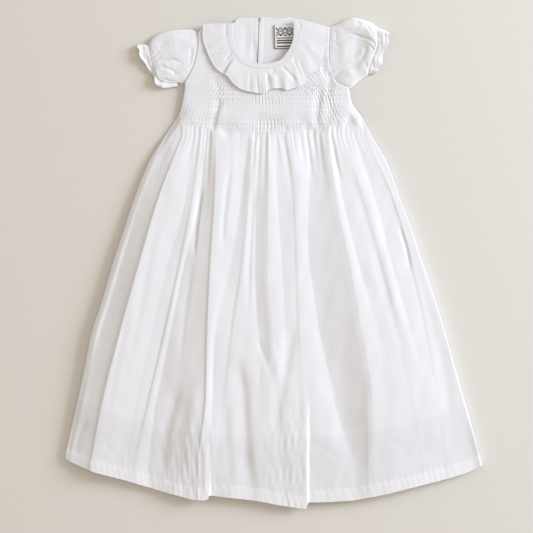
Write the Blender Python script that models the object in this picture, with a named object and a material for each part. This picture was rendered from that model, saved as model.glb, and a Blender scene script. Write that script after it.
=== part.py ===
"""A toddler's long smocked dress, lying on its back with the front up.

The neck points to +Y, the hem to -Y and the front to +Z. The origin is the middle of the
outline at the level of the surface that the dress lies on. All sizes here are millimetres.

Pieces, as cut and sewn: one front panel, smocked from the neck to the chest and falling in
folds from there to the hem; two back bodice pieces with an open slit between them; a plain back
skirt; an underskirt, shorter than the skirt; two puff sleeves gathered at the cuff; a bound
neck; a gathered collar; and a woven label on the inside of the back.
"""

import math

import bpy
import numpy as np

# ---------------------------------------------------------------- driving sizes
CLOTH = 1.0  # wall of the single cloth
SMOCKED = 2.5  # wall of the smocked part, which is cloth pleated on edge
SEAM_GAP = 0.4  # between two pieces that are sewn together
LAY = 0.3  # between two layers that lie on each other
BACK_TOP = CLOTH  # top of the back skirt
LINING_LOW = BACK_TOP + LAY  # underside of the underskirt
LINING_TOP = LINING_LOW + 2 * CLOTH + LAY  # its front layer's upper side
FRONT_LOW = LINING_TOP + LAY  # lowest that the front skirt comes over the underskirt
BODICE_LOW = 2.9  # underside of the smocked front
COLLAR_LOW = 6.8  # underside of the collar
COLLAR_BACK = 1.0  # the collar's stretch under the back neck
BINDING = (3.6, 8.6)  # low and high side of the neck binding
CHEST_Y = 172.0  # where the smocking lets the folds go, at the middle
LINING_INSET = 12.0  # underskirt's side to the skirt's side
LINING_SHORT = 84.0  # underskirt's hem above the skirt's hem
SLIT = 2.6  # width of the open slit down the back

# ------------------------------------------------------------ outline of the skirt
# y, x of the left side, x of the right side
SIDES = [
    (236.0, -119.5, 101.3),
    (214.0, -123.0, 106.0),
    (198.0, -128.0, 117.0),
    (188.0, -135.0, 123.0),
    (165.0, -150.5, 135.5),
    (138.0, -167.0, 151.0),
    (87.0, -188.0, 170.0),
    (45.0, -202.0, 185.5),
    (0.0, -217.0, 200.5),
    (-60.0, -234.5, 220.5),
    (-91.0, -245.0, 230.0),
    (-140.0, -255.0, 243.5),
    (-190.0, -265.5, 258.5),
    (-241.0, -277.5, 273.0),
    (-260.0, -281.2, 278.0),
    (-273.0, -279.0, 281.2),
]

# x, y of the hem's lower edge. The two steps are folds that lap over their right neighbour
HEM = [
    (-281.0, -262.0),
    (-276.0, -267.0),
    (-241.0, -281.5),
    (-199.0, -293.0),
    (-156.0, -306.0),
    (-109.0, -318.7),
    (-92.5, -319.5),
    (-87.5, -317.5),
    (-86.5, -313.0),
    (-55.0, -316.5),
    (-20.0, -320.5),
    (7.0, -326.0),
    (34.0, -330.0),
    (44.5, -331.2),
    (46.0, -322.5),
    (75.0, -322.0),
    (109.0, -319.7),
    (153.0, -311.0),
    (198.0, -299.7),
    (236.0, -290.3),
    (261.0, -282.8),
    (281.2, -272.8),
]

# ------------------------------------------------------------------ folds of the skirt
# Each row is a hollow between two folds. foot is x of the foot of its steep side, which is
# its right side, at the LEVELS; lap is how far its easy left side reaches; depth is the
# share of the fold's height that it takes away.
LEVELS = (170.0, 85.0, 0.0, -90.0, -180.0, -270.0)
HOLLOWS = [
    # name, foot x6, lap x6, depth x6
    ("side", (-123, -156, -182, -207, -230, -246), (16, 22, 23, 23, 20, 22), (0.90, 0.95, 0.95, 0.95, 0.90, 0.60)),
    ("left_small", (-100, -111, -126, -144, -165, -188), (6, 7, 13, 15, 13, 9), (0.40, 0.60, 0.65, 0.65, 0.60, 0.30)),
    ("left_deep", (-79, -80, -87, -91, -92, -101), (11, 18, 27, 38, 48, 50), (0.90, 0.90, 0.88, 0.85, 0.78, 0.72)),
    ("left_mid", (-29, -36, -42, -49, -31, -21), (5, 7, 10, 17, 38, 34), (0.50, 0.60, 0.60, 0.40, 0.42, 0.62)),
    ("centre", (-9, -9.5, -9, -4, 6, 11), (8, 12, 12, 12, 10, 10), (0.60, 0.68, 0.66, 0.60, 0.05, 0.0)),
    ("right_mid", (20, 29, 32, 34, 36, 36), (10, 16, 14, 12, 28, 44), (0.75, 0.50, 0.48, 0.36, 0.50, 0.65)),
    ("wide", (69, 80, 101, 118, 132, 128), (20, 31, 46, 49, 44, 20), (0.95, 1.00, 1.00, 1.00, 0.95, 0.70)),
    ("right_soft", (92, 118, 142, 165, 184, 198), (12, 17, 16, 14, 12, 12), (0.25, 0.35, 0.32, 0.12, 0.0, 0.0)),
    ("right_crease", (121, 159, 183, 204, 219, 230), (10, 14, 8, 8, 8, 8), (0.35, 0.45, 0.40, 0.0, 0.0, 0.0)),
    ("right_side", (131, 168, 194, 217, 234, 245), (6, 6, 6, 8, 12, 20), (0.0, 0.0, 0.0, 0.30, 0.36, 0.50)),
]
WALL = 3.2  # plan width of a hollow's steep side
# y, height of the folds' crests over the hollows
CREST = [(300, 0.7), (250, 1.0), (200, 1.6), (172, 4.5), (130, 9.0), (85, 11.5), (0, 14.0), (-90, 15.0), (-180, 14.5), (-270, 11.5), (-331, 9.0)]

# ------------------------------------------------------------------------ neck and armholes
# y, half width each side of the neck's middle: the inner edge of the binding
NECK_X = -12.5
NECK_IN = [(332, -41, 36), (322, -46, 39), (306, -48, 40), (291, -46, 37.5), (282, -42, 33), (275, -35, 27), (270, -26, 19), (267.5, -11, 8)]
BINDING_WIDE = 8.0
# armhole: upper end, lower end, and how far the seam curves in towards the body
ARMHOLES = {
    "left": ((-101.5, 310.0), (-120.5, 240.5), 6.0),
    "right": ((75.5, 316.5), (103.5, 234.5), 17.0),
}

# ------------------------------------------------------------------------------- sleeves
# A row is one section, from the armhole to the frill's edge: the upper and lower end of the
# section in plan, how far its middle bows out towards the cuff, and its height
SLEEVES = {
    "left": [
        ("armhole", -101.5, 310.0, -120.5, 240.5, -6.0, 7.0),
        ("shoulder", -118.0, 315.0, -123.5, 240.5, 0.0, 12.5),
        ("puff", -139.0, 311.5, -125.5, 241.0, 10.0, 16.0),
        ("fullest", -156.0, 308.0, -126.5, 242.0, 17.0, 15.0),
        ("gather", -165.5, 298.0, -126.5, 244.0, 18.0, 11.0),
        ("elastic", -168.0, 292.0, -124.5, 243.0, 15.0, 7.5),
        ("frill", -176.0, 294.5, -125.5, 239.5, 17.0, 9.0),
        ("frill_edge", -184.0, 295.0, -124.5, 238.0, 15.0, 8.0),
    ],
    "right": [
        ("armhole", 75.5, 316.5, 103.5, 234.5, -17.0, 7.0),
        ("shoulder", 92.0, 325.0, 108.0, 236.5, -6.0, 16.0),
        ("puff", 111.0, 330.0, 115.0, 241.5, 3.0, 21.0),
        ("fullest", 128.0, 325.0, 120.5, 246.5, 7.0, 20.0),
        ("gather", 139.0, 316.0, 124.0, 252.0, 7.0, 13.0),
        ("elastic", 143.0, 312.5, 126.0, 253.5, 6.0, 8.0),
        ("frill", 151.0, 313.0, 131.0, 252.0, 5.5, 10.0),
        ("frill_edge", 157.5, 313.0, 137.0, 251.0, 5.0, 9.0),
    ],
}
SLEEVE_AROUND = 20

# -------------------------------------------------------------------------------- collar
# A row is one line across the gathered collar, from the left shoulder round the front to
# the right shoulder: its outer end in plan and its lift, which makes the pleats
COLLAR = [
    (-94.5, 321.0, 0.3),
    (-95.5, 309.0, 1.6),
    (-94.5, 298.0, 0.6),
    (-90.5, 286.0, 2.4),
    (-85.0, 273.0, 1.2),
    (-78.0, 261.5, 2.6),
    (-69.0, 254.5, 0.2),
    (-62.5, 251.0, 3.6),
    (-54.0, 240.5, 1.4),
    (-43.5, 233.0, 2.8),
    (-31.5, 229.5, 1.0),
    (-20.5, 227.8, 2.8),
    (-12.5, 227.0, 3.4),
    (-6.5, 232.0, 0.2),
    (2.0, 234.0, 2.2),
    (10.5, 234.5, 0.6),
    (18.0, 231.8, 3.0),
    (27.5, 234.5, 1.0),
    (36.5, 236.5, 2.4),
    (45.5, 244.5, 0.8),
    (52.5, 254.5, 2.6),
    (61.0, 259.5, 1.0),
    (66.0, 273.0, 2.2),
    (69.5, 288.0, 0.8),
    (71.5, 303.0, 1.8),
    (72.5, 317.0, 0.3),
]

LABEL = {"x": 1.5, "y": 311.8, "wide": 29.0, "tall": 32.0, "thick": 0.6, "turn": 1.5}

COLOURS = {
    "cloth": (0.93, 0.93, 0.94, 1.0, 0.85),
    "lining": (0.92, 0.92, 0.93, 1.0, 0.85),
    "label": (0.05, 0.05, 0.06, 1.0, 0.6),
}

MM = 0.001


# ------------------------------------------------------------------------------ helpers
def ease(t):
    t = np.clip(t, 0.0, 1.0)
    return t * t * (3.0 - 2.0 * t)


def through(x, at, values):
    """A smooth curve through a short table, without overshoot; at may rise or fall."""
    at, values = np.asarray(at, float), np.asarray(values, float)
    if at[0] > at[-1]:
        at, values = at[::-1], values[::-1]
    x = np.clip(np.asarray(x, float), at[0], at[-1])
    h = np.diff(at)
    rise = np.diff(values) / h
    slope = np.zeros_like(values)
    same = rise[:-1] * rise[1:] > 0
    w1, w2 = 2 * h[1:] + h[:-1], h[1:] + 2 * h[:-1]
    with np.errstate(divide="ignore", invalid="ignore"):
        inner = (w1 + w2) / (w1 / rise[:-1] + w2 / rise[1:])
    slope[1:-1] = np.where(same, inner, 0.0)
    slope[0], slope[-1] = rise[0], rise[-1]
    i = np.clip(np.searchsorted(at, x, side="right") - 1, 0, len(h) - 1)
    t = (x - at[i]) / h[i]
    return (
        (2 * t**3 - 3 * t**2 + 1) * values[i]
        + (t**3 - 2 * t**2 + t) * h[i] * slope[i]
        + (-2 * t**3 + 3 * t**2) * values[i + 1]
        + (t**3 - t**2) * h[i] * slope[i + 1]
    )


def column(table, k):
    return [row[k] for row in table]


def side_x(y, side):
    return through(y, column(SIDES, 0), column(SIDES, 1 if side == "left" else 2))


def hem_y(x):
    return np.interp(x, column(HEM, 0), column(HEM, 1))


def chest_y(x):
    """The line where the smocking ends: low at the middle and higher at the sides."""
    return CHEST_Y + 14.0 * np.clip(np.abs(np.asarray(x, float) + 15.0) / 110.0, 0, 1.4) ** 2


def armhole_line(side, t):
    """Points down the armhole seam, t from 0 at the shoulder to 1 at the underarm."""
    (x0, y0), (x1, y1), bow = ARMHOLES[side]
    return bowed((x0, y0), (x1, y1), -bow, t, side)


def bowed(a, b, bow, t, side):
    """The line from a to b with its middle moved out towards the cuff by bow."""
    t = np.asarray(t, float)
    dx, dy = b[0] - a[0], b[1] - a[1]
    long = math.hypot(dx, dy)
    nx, ny = (dy / long, -dx / long) if side == "left" else (-dy / long, dx / long)
    push = bow * 4.0 * t * (1.0 - t)
    return a[0] + dx * t + nx * push, a[1] + dy * t + ny * push


def armhole_x(y, side):
    across = (1 - np.cos(np.linspace(0, math.pi, SLEEVE_AROUND // 2 + 1))) / 2
    x, at = armhole_line(side, across)  # the sleeve's own points, so the edges match
    return float(np.interp(y, at[::-1], x[::-1]))


def neck_x(y, side, out=0.0):
    """The side of the neck opening at y, moved out by the width of the binding or more."""
    k = 1 if side == "left" else 2
    return NECK_X + through(y, column(NECK_IN, 0), column(NECK_IN, k)) + (-out if side == "left" else out)


def material(name, kind):
    r, g, b, a, rough = COLOURS[kind]
    made = bpy.data.materials.new(name)
    made.use_nodes = True
    shader = made.node_tree.nodes["Principled BSDF"]
    shader.inputs["Base Color"].default_value = (r, g, b, a)
    shader.inputs["Roughness"].default_value = rough
    shader.inputs["Metallic"].default_value = 0.0
    return made


def piece(name, points, faces, kind):
    """A mesh object from points in millimetres."""
    mesh = bpy.data.meshes.new(name)
    mesh.from_pydata([(p[0] * MM, p[1] * MM, p[2] * MM) for p in points], [], faces)
    mesh.validate()
    made = bpy.data.objects.new(name, mesh)
    bpy.context.collection.objects.link(made)
    mesh.materials.append(material(name + "_cloth", kind))
    mesh.shade_smooth()
    mesh.set_sharp_from_angle(angle=math.radians(40))
    return made


def sheet(name, x, y, low, high, kind="cloth", keep=None):
    """A wall of cloth over a grid of plan points, between two heights at each. keep marks
    the cells that are there; rows of the grid run down the dress, columns to the right."""
    rows, cols = x.shape
    if keep is None:
        keep = np.ones((rows - 1, cols - 1), bool)
    used = np.zeros((rows, cols), bool)
    for r in range(rows - 1):
        for c in range(cols - 1):
            if keep[r, c]:
                used[r : r + 2, c : c + 2] = True
    index = -np.ones((rows, cols), int)
    index[used] = np.arange(used.sum())
    count = int(used.sum())
    points = [(x[r, c], y[r, c], high[r, c]) for r, c in zip(*np.nonzero(used))]
    points += [(x[r, c], y[r, c], low[r, c]) for r, c in zip(*np.nonzero(used))]
    faces = []

    def there(r, c):
        return 0 <= r < rows - 1 and 0 <= c < cols - 1 and keep[r, c]

    for r in range(rows - 1):
        for c in range(cols - 1):
            if not keep[r, c]:
                continue
            a, b, d, e = index[r, c], index[r, c + 1], index[r + 1, c + 1], index[r + 1, c]
            faces.append((a, e, d, b))
            faces.append((a + count, b + count, d + count, e + count))
            if not there(r - 1, c):
                faces.append((a, b, b + count, a + count))
            if not there(r + 1, c):
                faces.append((d, e, e + count, d + count))
            if not there(r, c - 1):
                faces.append((e, a, a + count, e + count))
            if not there(r, c + 1):
                faces.append((b, d, d + count, b + count))
    return piece(name, points, faces, kind)


def tube(name, outer, inner, kind="cloth", closed=False):
    """A wall between two sets of rings. Its ends are open, with a rim, unless it is closed
    on itself along its length."""
    rings, around = len(outer), len(outer[0])
    points = [p for ring in outer for p in ring] + [p for ring in inner for p in ring]
    shift = rings * around
    faces = []
    for j in range(rings - 1):
        for i in range(around):
            a, b = j * around + i, j * around + (i + 1) % around
            c, d = a + around, b + around
            faces.append((a, b, d, c))
            faces.append((a + shift, c + shift, d + shift, b + shift))
    for i in range(around):
        a, b = i, (i + 1) % around
        faces.append((b, a, a + shift, b + shift))
        a, b = a + (rings - 1) * around, b + (rings - 1) * around
        faces.append((a, b, b + shift, a + shift))
    return piece(name, points, faces, kind)


def bar(name, rings, kind="cloth"):
    """A solid band through rings of points, with flat ends."""
    around = len(rings[0])
    points = [p for ring in rings for p in ring]
    faces = []
    for j in range(len(rings) - 1):
        for i in range(around):
            a, b = j * around + i, j * around + (i + 1) % around
            faces.append((a, b, b + around, a + around))
    faces.append(tuple(reversed(range(around))))
    faces.append(tuple((len(rings) - 1) * around + i for i in range(around)))
    return piece(name, points, faces, kind)


def turn_out(made):
    """Faces out, whatever way round the rings were made."""
    mesh = made.data
    points = np.array([v.co for v in mesh.vertices])
    volume = 0.0
    for face in mesh.polygons:
        v = [points[i] for i in face.vertices]
        for k in range(1, len(v) - 1):
            volume += float(np.dot(v[0], np.cross(v[k], v[k + 1])))
    if volume < 0:
        mesh.flip_normals()
    return made


# ----------------------------------------------------------------------------- fold form
def hollow_at(row, y):
    """foot, lap and depth of one hollow at height y."""
    _, foot, lap, depth = row
    return through(y, LEVELS, foot), through(y, LEVELS, lap), through(y, LEVELS, depth)


def fold_share(x, y):
    """1 on the crest of a fold and down towards 0 in a hollow."""
    share = np.ones_like(np.asarray(x, float) + np.asarray(y, float))
    above = ease((np.asarray(y, float) - 178.0) / 60.0)
    for row in HOLLOWS:
        foot, lap, depth = hollow_at(row, y)
        # Only the two deepest hollows run up into the smocking.
        stay = 0.55 if row[0] in ("left_deep", "wide") else 0.0
        depth = depth * (1.0 - above * (1.0 - stay))
        d = x - foot
        left = 1.0 - ease(-d / lap)
        right = 1.0 - ease(d / WALL)
        trough = np.where(d < 0, left, right)
        wide = np.exp(-((d / (1.3 * lap + 6.0)) ** 2))
        share = share * (1.0 - depth * (0.86 * trough + 0.14 * wide))
    return share


def front_low(x, y):
    """Lowest that the front panel's underside comes."""
    edge = np.minimum(x - side_x(y, "left"), side_x(y, "right") - x)
    inside = ease(edge / 8.0)
    bodice = ease((y - (CHEST_Y - 10.0)) / 30.0)
    skirt = LINING_LOW + (FRONT_LOW - LINING_LOW) * inside
    past_lining = ease((-(y - hem_y(x)) + LINING_SHORT - 6.0) / 40.0)
    skirt = skirt - 1.6 * past_lining * inside
    return skirt * (1 - bodice) + (LINING_LOW + (BODICE_LOW - LINING_LOW) * inside) * bodice


def front_top(x, y):
    height = through(y, column(CREST, 0), column(CREST, 1))
    from_left, from_right = x - side_x(y, "left"), side_x(y, "right") - x
    round_off = np.sqrt(np.clip(1 - (1 - np.clip(from_left / 11.0, 0, 1)) ** 2, 0, 1))
    round_off = round_off * np.sqrt(np.clip(1 - (1 - np.clip(from_right / 14.0, 0, 1)) ** 2, 0, 1))
    ease_off = (0.72 + 0.28 * ease(from_left / 45.0)) * (0.62 + 0.38 * ease(from_right / 80.0))
    return front_low(x, y) + front_wall(y) + height * fold_share(x, y) * round_off * ease_off


def front_wall(y):
    return CLOTH + (SMOCKED - CLOTH) * ease((y - (CHEST_Y - 12.0)) / 26.0)


# -------------------------------------------------------------------------------- pieces
def fold_lines(y):
    """x of the lines that run down the front, at one height for each line."""
    lines = [side_x(y[0], "left"), side_x(y[1], "left") + 4.0, side_x(y[2], "left") + 12.0]
    at = 3
    for row in HOLLOWS:
        for part in (-0.95, -0.45, 0.0, 1.0):
            foot, lap, _ = hollow_at(row, y[at])
            lines.append(foot + (part * lap if part < 0 else part * WALL))
            at += 1
    lines += [side_x(y[at], "right") - 14.0, side_x(y[at + 1], "right") - 5.0, side_x(y[at + 2], "right")]
    lines = np.array([float(v) for v in lines])
    gap = 1.1
    for _ in range(3):
        for i in range(1, len(lines)):
            lines[i] = max(lines[i], lines[i - 1] + gap)
        lines[-1] = float(side_x(y[-1], "right"))
        for i in range(len(lines) - 2, 0, -1):
            lines[i] = min(lines[i], lines[i + 1] - gap)
        lines[0] = float(side_x(y[0], "left"))
    return lines


def build_front():
    count = 3 + 4 * len(HOLLOWS) + 3
    shares = [1.0, 0.94, 0.86, 0.77, 0.68, 0.59, 0.50, 0.41, 0.32, 0.24, 0.16, 0.09, 0.04, 0.0]
    skirt_x, skirt_y = [], []
    # Work up from the hem: each line's own height is between the chest and its hem.
    previous = np.interp(np.linspace(0, 1, count), [0, 1], [-281.2, 281.2])
    previous = fold_lines(hem_y(previous))
    for share in shares:
        guess = previous.copy()
        for _ in range(6):
            y = chest_y(guess) * (1 - share) + hem_y(guess) * share
            guess = fold_lines(y)
        previous = guess
        y = chest_y(guess) * (1 - share) + hem_y(guess) * share
        skirt_x.append(guess)
        skirt_y.append(y)
    skirt_x, skirt_y = skirt_x[::-1], skirt_y[::-1]  # chest first, hem last
    top_x = skirt_x[0]
    left_neck = int(np.argmin(np.abs(top_x + 52.0)))
    right_neck = int(np.argmin(np.abs(top_x - 22.0)))
    # rows above the chest: each one's height at the left and at the right shoulder
    levels = [
        (321.0, 325.0),
        (309.0, 314.0),
        (297.0, 301.0),
        (284.0, 286.0),
        (272.0, 272.0),
        (263.0, 263.0),
        (247.0, 247.0),
        (232.0, 232.0),
        (214.0, 214.0),
        (198.0, 198.0),
    ]
    # the cut-out runs just outside the binding
    cut_x, cut_y = neck_path(BINDING_WIDE + 2 * SEAM_GAP, 61)
    lowest = int(np.argmin(cut_y))
    side_cut = {"left": (cut_x[: lowest + 1], cut_y[: lowest + 1]), "right": (cut_x[lowest:], cut_y[lowest:])}

    def cut_at(y, side):
        xs_cut, ys_cut = side_cut[side]
        order = np.argsort(ys_cut)
        return float(np.interp(y, ys_cut[order], xs_cut[order]))

    xs, ys = [], []
    for k, (left_y, right_y) in enumerate(levels):
        y = np.full(count, left_y)
        y[right_neck:] = right_y
        if k == 0:  # the right shoulder falls towards the sleeve
            y[right_neck:] = np.linspace(right_y, 317.0, count - right_neck)
        if k < 6:
            cut = (cut_at(left_y, "left"), cut_at(right_y, "right"))
        else:
            cut = (-50.0 - 0.5 * (k - 6), 22.0)
        ends = []
        for at, side, sign in ((y[0], "left", 1), (y[-1], "right", -1)):
            top, low = ARMHOLES[side][0][1], ARMHOLES[side][1][1]
            if at > top:
                ends.append(ARMHOLES[side][0][0] + sign * (2 * SEAM_GAP + 0.7 * (at - top)))
            elif at >= low:
                ends.append(armhole_x(at, side) + sign * 3 * SEAM_GAP)
            else:
                ends.append(float(side_x(at, side)))
        even = np.interp(np.arange(count), [0, left_neck, right_neck, count - 1], [ends[0], cut[0], cut[1], ends[1]])
        drop = ease((247.0 - left_y) / 75.0)  # from the even spread to the folds' own lines
        x = even * (1 - drop) + top_x * drop
        x[0], x[-1] = ends
        y = y + (chest_y(x) - CHEST_Y) * ease((250.0 - left_y) / 60.0)
        xs.append(x)
        ys.append(y)
    # across the front of the neck the sixth row follows the cut-out's curve
    low_left = int(np.argmin(np.abs(side_cut["left"][1] - levels[5][0])))
    low_right = lowest + int(np.argmin(np.abs(side_cut["right"][1] - levels[5][0])))
    span = np.arange(left_neck, right_neck + 1)
    way = low_left + (low_right - low_left) * (span - left_neck) / (right_neck - left_neck)
    xs[5][span] = np.interp(way, np.arange(61), cut_x)
    ys[5][span] = np.interp(way, np.arange(61), cut_y)
    x, y = np.array(xs + skirt_x), np.array(ys + skirt_y)
    # the shoulder rows have no cells across the neck
    keep = np.ones((x.shape[0] - 1, count - 1), bool)
    keep[:5, left_neck:right_neck] = False
    low = front_low(x, y)
    high = np.maximum(front_top(x, y), low + front_wall(y))
    low_skin = np.maximum(low, high - thick_down(x, y, high))
    # the shoulders and the cloth under the collar are level
    shelf = ease((y - 214.0) / 14.0)
    high = high * (1 - shelf) + np.minimum(high, COLLAR_LOW - LAY - 0.1) * shelf
    low_skin = low_skin * (1 - shelf) + (high - SMOCKED) * shelf
    low_skin = np.minimum(low_skin, high - 0.9)
    return sheet("front_panel", x, y, low_skin, high, keep=keep)


def thick_down(x, y, z):
    """The wall measured straight down, more where the cloth is steep."""
    wall = front_wall(y)
    steep = np.zeros_like(z)
    run = np.abs(np.diff(x, axis=1))
    rise = np.abs(np.diff(z, axis=1))
    slope = rise / np.maximum(run, 0.5)
    steep[:, :-1] = slope
    steep[:, 1:] = np.maximum(steep[:, 1:], slope)
    return wall * np.sqrt(1 + np.minimum(steep, 2.5) ** 2)


def back_edge(y, side):
    """The outer side of a back bodice piece: shoulder, armhole and side seam."""
    if side == "left":
        shoulder = [(330.0, -45.0), (327.0, -55.0), (322.5, -70.0), (319.0, -92.0), (311.0, -101.5)]
        turn, sign = 311.0, 1
    else:
        shoulder = [(331.2, 23.0), (328.0, 38.0), (324.0, 55.0), (320.0, 68.0), (317.0, 75.0)]
        turn, sign = 317.0, -1
    if y >= turn:
        return float(np.interp(y, column(shoulder, 0)[::-1], column(shoulder, 1)[::-1])) + sign * SEAM_GAP
    low = ARMHOLES[side][1][1]
    if y >= low:
        return armhole_x(y, side) + sign * 3 * SEAM_GAP
    return float(side_x(y, side)) + sign * 1.5


def build_back_bodice(side):
    start = 330.0 if side == "left" else 331.2
    levels = [start, 326.0, 322.0, 318.5, 311.0, 300.0, 285.0, 268.0, 252.0, 243.0, 235.0, 222.0, 205.0, 190.0, 179.0]
    x, y = [], []
    for level in levels:
        slit = -20.0 + 1.5 * ease((300.0 - level) / 60.0)
        half = SLIT / 2 * (1.0 - 0.65 * ease((300.0 - level) / 60.0))
        edge = back_edge(level, side)
        inner = slit - half if side == "left" else slit + half
        ends = (edge, inner) if side == "left" else (inner, edge)
        x.append(np.linspace(ends[0], ends[1], 6))
        y.append(np.full(6, level))
    x, y = np.array(x), np.array(y)
    # It rises a little at the top, where the collar's back stretch lies under it.
    low = (COLLAR_BACK + LAY) * ease((y - 232.0) / 40.0)
    return sheet("back_bodice_" + side, x, y, low, low + CLOTH)


def build_back_skirt():
    shares = np.linspace(0, 1, 11)
    cols = np.linspace(0, 1, 15)
    top, x, y = 178.6, [], []
    for share in shares:
        row_y = np.full(len(cols), top)
        for _ in range(8):
            left, right = side_x(row_y, "left") + 1.2, side_x(row_y, "right") - 1.2
            row_x = left * (1 - cols) + right * cols
            row_y = top * (1 - share) + (hem_y(row_x) + 2.5) * share
        x.append(row_x)
        y.append(row_y)
    x, y = np.array(x), np.array(y)
    return sheet("back_skirt", x, y, np.zeros_like(x), np.full_like(x, BACK_TOP))


def build_underskirt():
    shares = np.linspace(0, 1, 8)
    cols = np.linspace(0, 1, 11)
    top = 166.0
    outer, inner = [], []
    for share in shares:
        row_y = np.full(len(cols), top)
        for _ in range(8):
            left, right = side_x(row_y, "left") + LINING_INSET, side_x(row_y, "right") - LINING_INSET
            row_x = left * (1 - cols) + right * cols
            hem = -184.0 - 52.0 * np.clip(1 - ((row_x - 8.0) / 262.0) ** 2, 0, 1) ** 0.8
            row_y = top * (1 - share) + hem * share
        over = [(a, b, LINING_TOP) for a, b in zip(row_x, row_y)]
        under = [(a, b, LINING_LOW) for a, b in zip(row_x, row_y)]
        outer.append(over + under[::-1])
        inner_x = row_x + CLOTH * (1 - 2 * cols)
        over = [(a, b, LINING_TOP - CLOTH) for a, b in zip(inner_x, row_y)]
        under = [(a, b, LINING_LOW + CLOTH) for a, b in zip(inner_x, row_y)]
        inner.append(over + under[::-1])
    return turn_out(tube("underskirt", outer, inner, kind="lining"))


def build_sleeve(side):
    outer, inner = [], []
    rows = SLEEVES[side]
    for k, (_, ax, ay, bx, by, bow, height) in enumerate(rows):
        ring, lining = [], []
        long = math.hypot(bx - ax, by - ay)
        for i in range(SLEEVE_AROUND):
            angle = 2 * math.pi * i / SLEEVE_AROUND
            across = (1 - math.cos(angle)) / 2
            lift = math.sin(angle)
            upper = lift >= -1e-9
            rim = 2.0
            up = abs(lift) ** 0.72
            down = abs(lift) ** 0.25
            for made, inset, wall in ((ring, 0.0, 0.0), (lining, CLOTH / long, CLOTH)):
                t = inset + (1 - 2 * inset) * across
                x, y = bowed((ax, ay), (bx, by), bow, t, side)
                if k == 0:  # the sleeve stops just short of the armhole seam
                    x += -SEAM_GAP if side == "left" else SEAM_GAP
                z = rim + (height - rim - wall) * up if upper else rim - (rim - wall) * down
                made.append((float(x), float(y), z))
        outer.append(ring)
        inner.append(lining)
    return turn_out(tube("sleeve_" + side, outer, inner))


NECK_STEPS = 26  # lines round the front of the neck, the same for the binding and the collar


def neck_path(out, count=NECK_STEPS):
    """Points round the front of the neck from the left shoulder to the right one."""
    left_top, right_top = 321.5, 326.0
    table = [row for row in NECK_IN if row[0] <= 322]
    ys = column(table, 0)
    xl = [NECK_X + v for v in column(table, 1)]
    xr = [NECK_X + v for v in column(table, 2)]
    pts = [(xl[0] - 0.5, left_top)] + list(zip(xl[1:], ys[1:]))
    pts += [(NECK_X - 1.0, 267.0)]
    pts += list(zip(xr[::-1][:-1], ys[::-1][:-1])) + [(xr[0] + 0.2, 318.0), (xr[0] - 0.8, right_top)]
    pts = np.array(pts)
    run = np.concatenate([[0], np.cumsum(np.hypot(*np.diff(pts, axis=0).T))])
    s = np.linspace(0, run[-1], count)
    x, y = through(s, run, pts[:, 0]), through(s, run, pts[:, 1])
    dx, dy = np.gradient(x), np.gradient(y)
    norm = np.hypot(dx, dy)
    return x + dy / norm * out, y - dx / norm * out


def build_binding():
    low, high = BINDING
    corner = 1.6
    section = [
        (0.0, low + corner),
        (corner * 0.4, low),
        (BINDING_WIDE - 0.4, low),
        (BINDING_WIDE, low + corner),
        (BINDING_WIDE, high - 1.3),
        (BINDING_WIDE - 1.6, high - 0.3),
        (BINDING_WIDE * 0.45, high),
        (corner * 0.5, high - 0.9),
        (0.0, high - 2.0),
    ]
    lines = [neck_path(out) for out, _ in section]
    rings = [[(float(lines[k][0][j]), float(lines[k][1][j]), section[k][1]) for k in range(len(section))] for j in range(NECK_STEPS)]
    return turn_out(bar("neck_binding", rings))


def build_collar():
    # each line starts on the binding, at an even share of the way round
    inner_x, inner_y = neck_path(BINDING_WIDE + SEAM_GAP, len(COLLAR))
    across = np.array([0.0, 0.25, 0.6, 0.88, 1.0])
    x, y, low = [], [], []
    for a in across:
        outer_x, outer_y = np.array(column(COLLAR, 0)), np.array(column(COLLAR, 1))
        lift = np.array(column(COLLAR, 2))
        x.append(inner_x * (1 - a) + outer_x * a)
        y.append(inner_y * (1 - a) + outer_y * a)
        swell = 0.5 + 1.3 * math.sin(math.pi * min(a * 0.9 + 0.08, 1.0))
        low.append(COLLAR_LOW + swell * (1 - a) + lift * (0.25 + 0.75 * a))
    x, y, low = np.array(x), np.array(y), np.array(low)
    return turn_out(sheet("collar", x, y, low, low + CLOTH))


def build_back_collar(side):
    if side == "left":
        inner = [(-63.0, 318.5), (-54.0, 323.0), (-44.0, 327.0), (-33.0, 328.5), (-22.5, 329.0)]
        outer = [(-92.5, 316.5), (-86.0, 303.0), (-68.0, 294.0), (-46.0, 290.5), (-22.5, 290.0)]
    else:
        inner = [(-17.5, 330.0), (-4.0, 330.0), (11.0, 329.5), (23.0, 326.5), (33.0, 322.5)]
        outer = [(-17.5, 291.0), (8.0, 290.5), (33.0, 293.0), (54.0, 300.0), (68.0, 312.0)]
    x, y = [], []
    for a in (0.0, 0.5, 1.0):
        x.append([p[0] * (1 - a) + q[0] * a for p, q in zip(inner, outer)])
        y.append([p[1] * (1 - a) + q[1] * a for p, q in zip(inner, outer)])
    x, y = np.array(x), np.array(y)
    return turn_out(sheet("collar_back_" + side, x, y, np.zeros_like(x), np.full_like(x, COLLAR_BACK)))


def build_label():
    wide, tall, thick = LABEL["wide"], LABEL["tall"], LABEL["thick"]
    low = COLLAR_BACK + LAY + CLOTH + LAY
    turn = math.radians(LABEL["turn"])
    x, y = [], []
    for v in (0.0, -tall):
        row = [(u * math.cos(turn) - v * math.sin(turn), u * math.sin(turn) + v * math.cos(turn)) for u in (0.0, wide)]
        x.append([LABEL["x"] + p[0] for p in row])
        y.append([LABEL["y"] + 8.0 + p[1] for p in row])
    x, y = np.array(x), np.array(y)
    return sheet("label", x, y, np.full_like(x, low), np.full_like(x, low + thick), kind="label")


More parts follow.
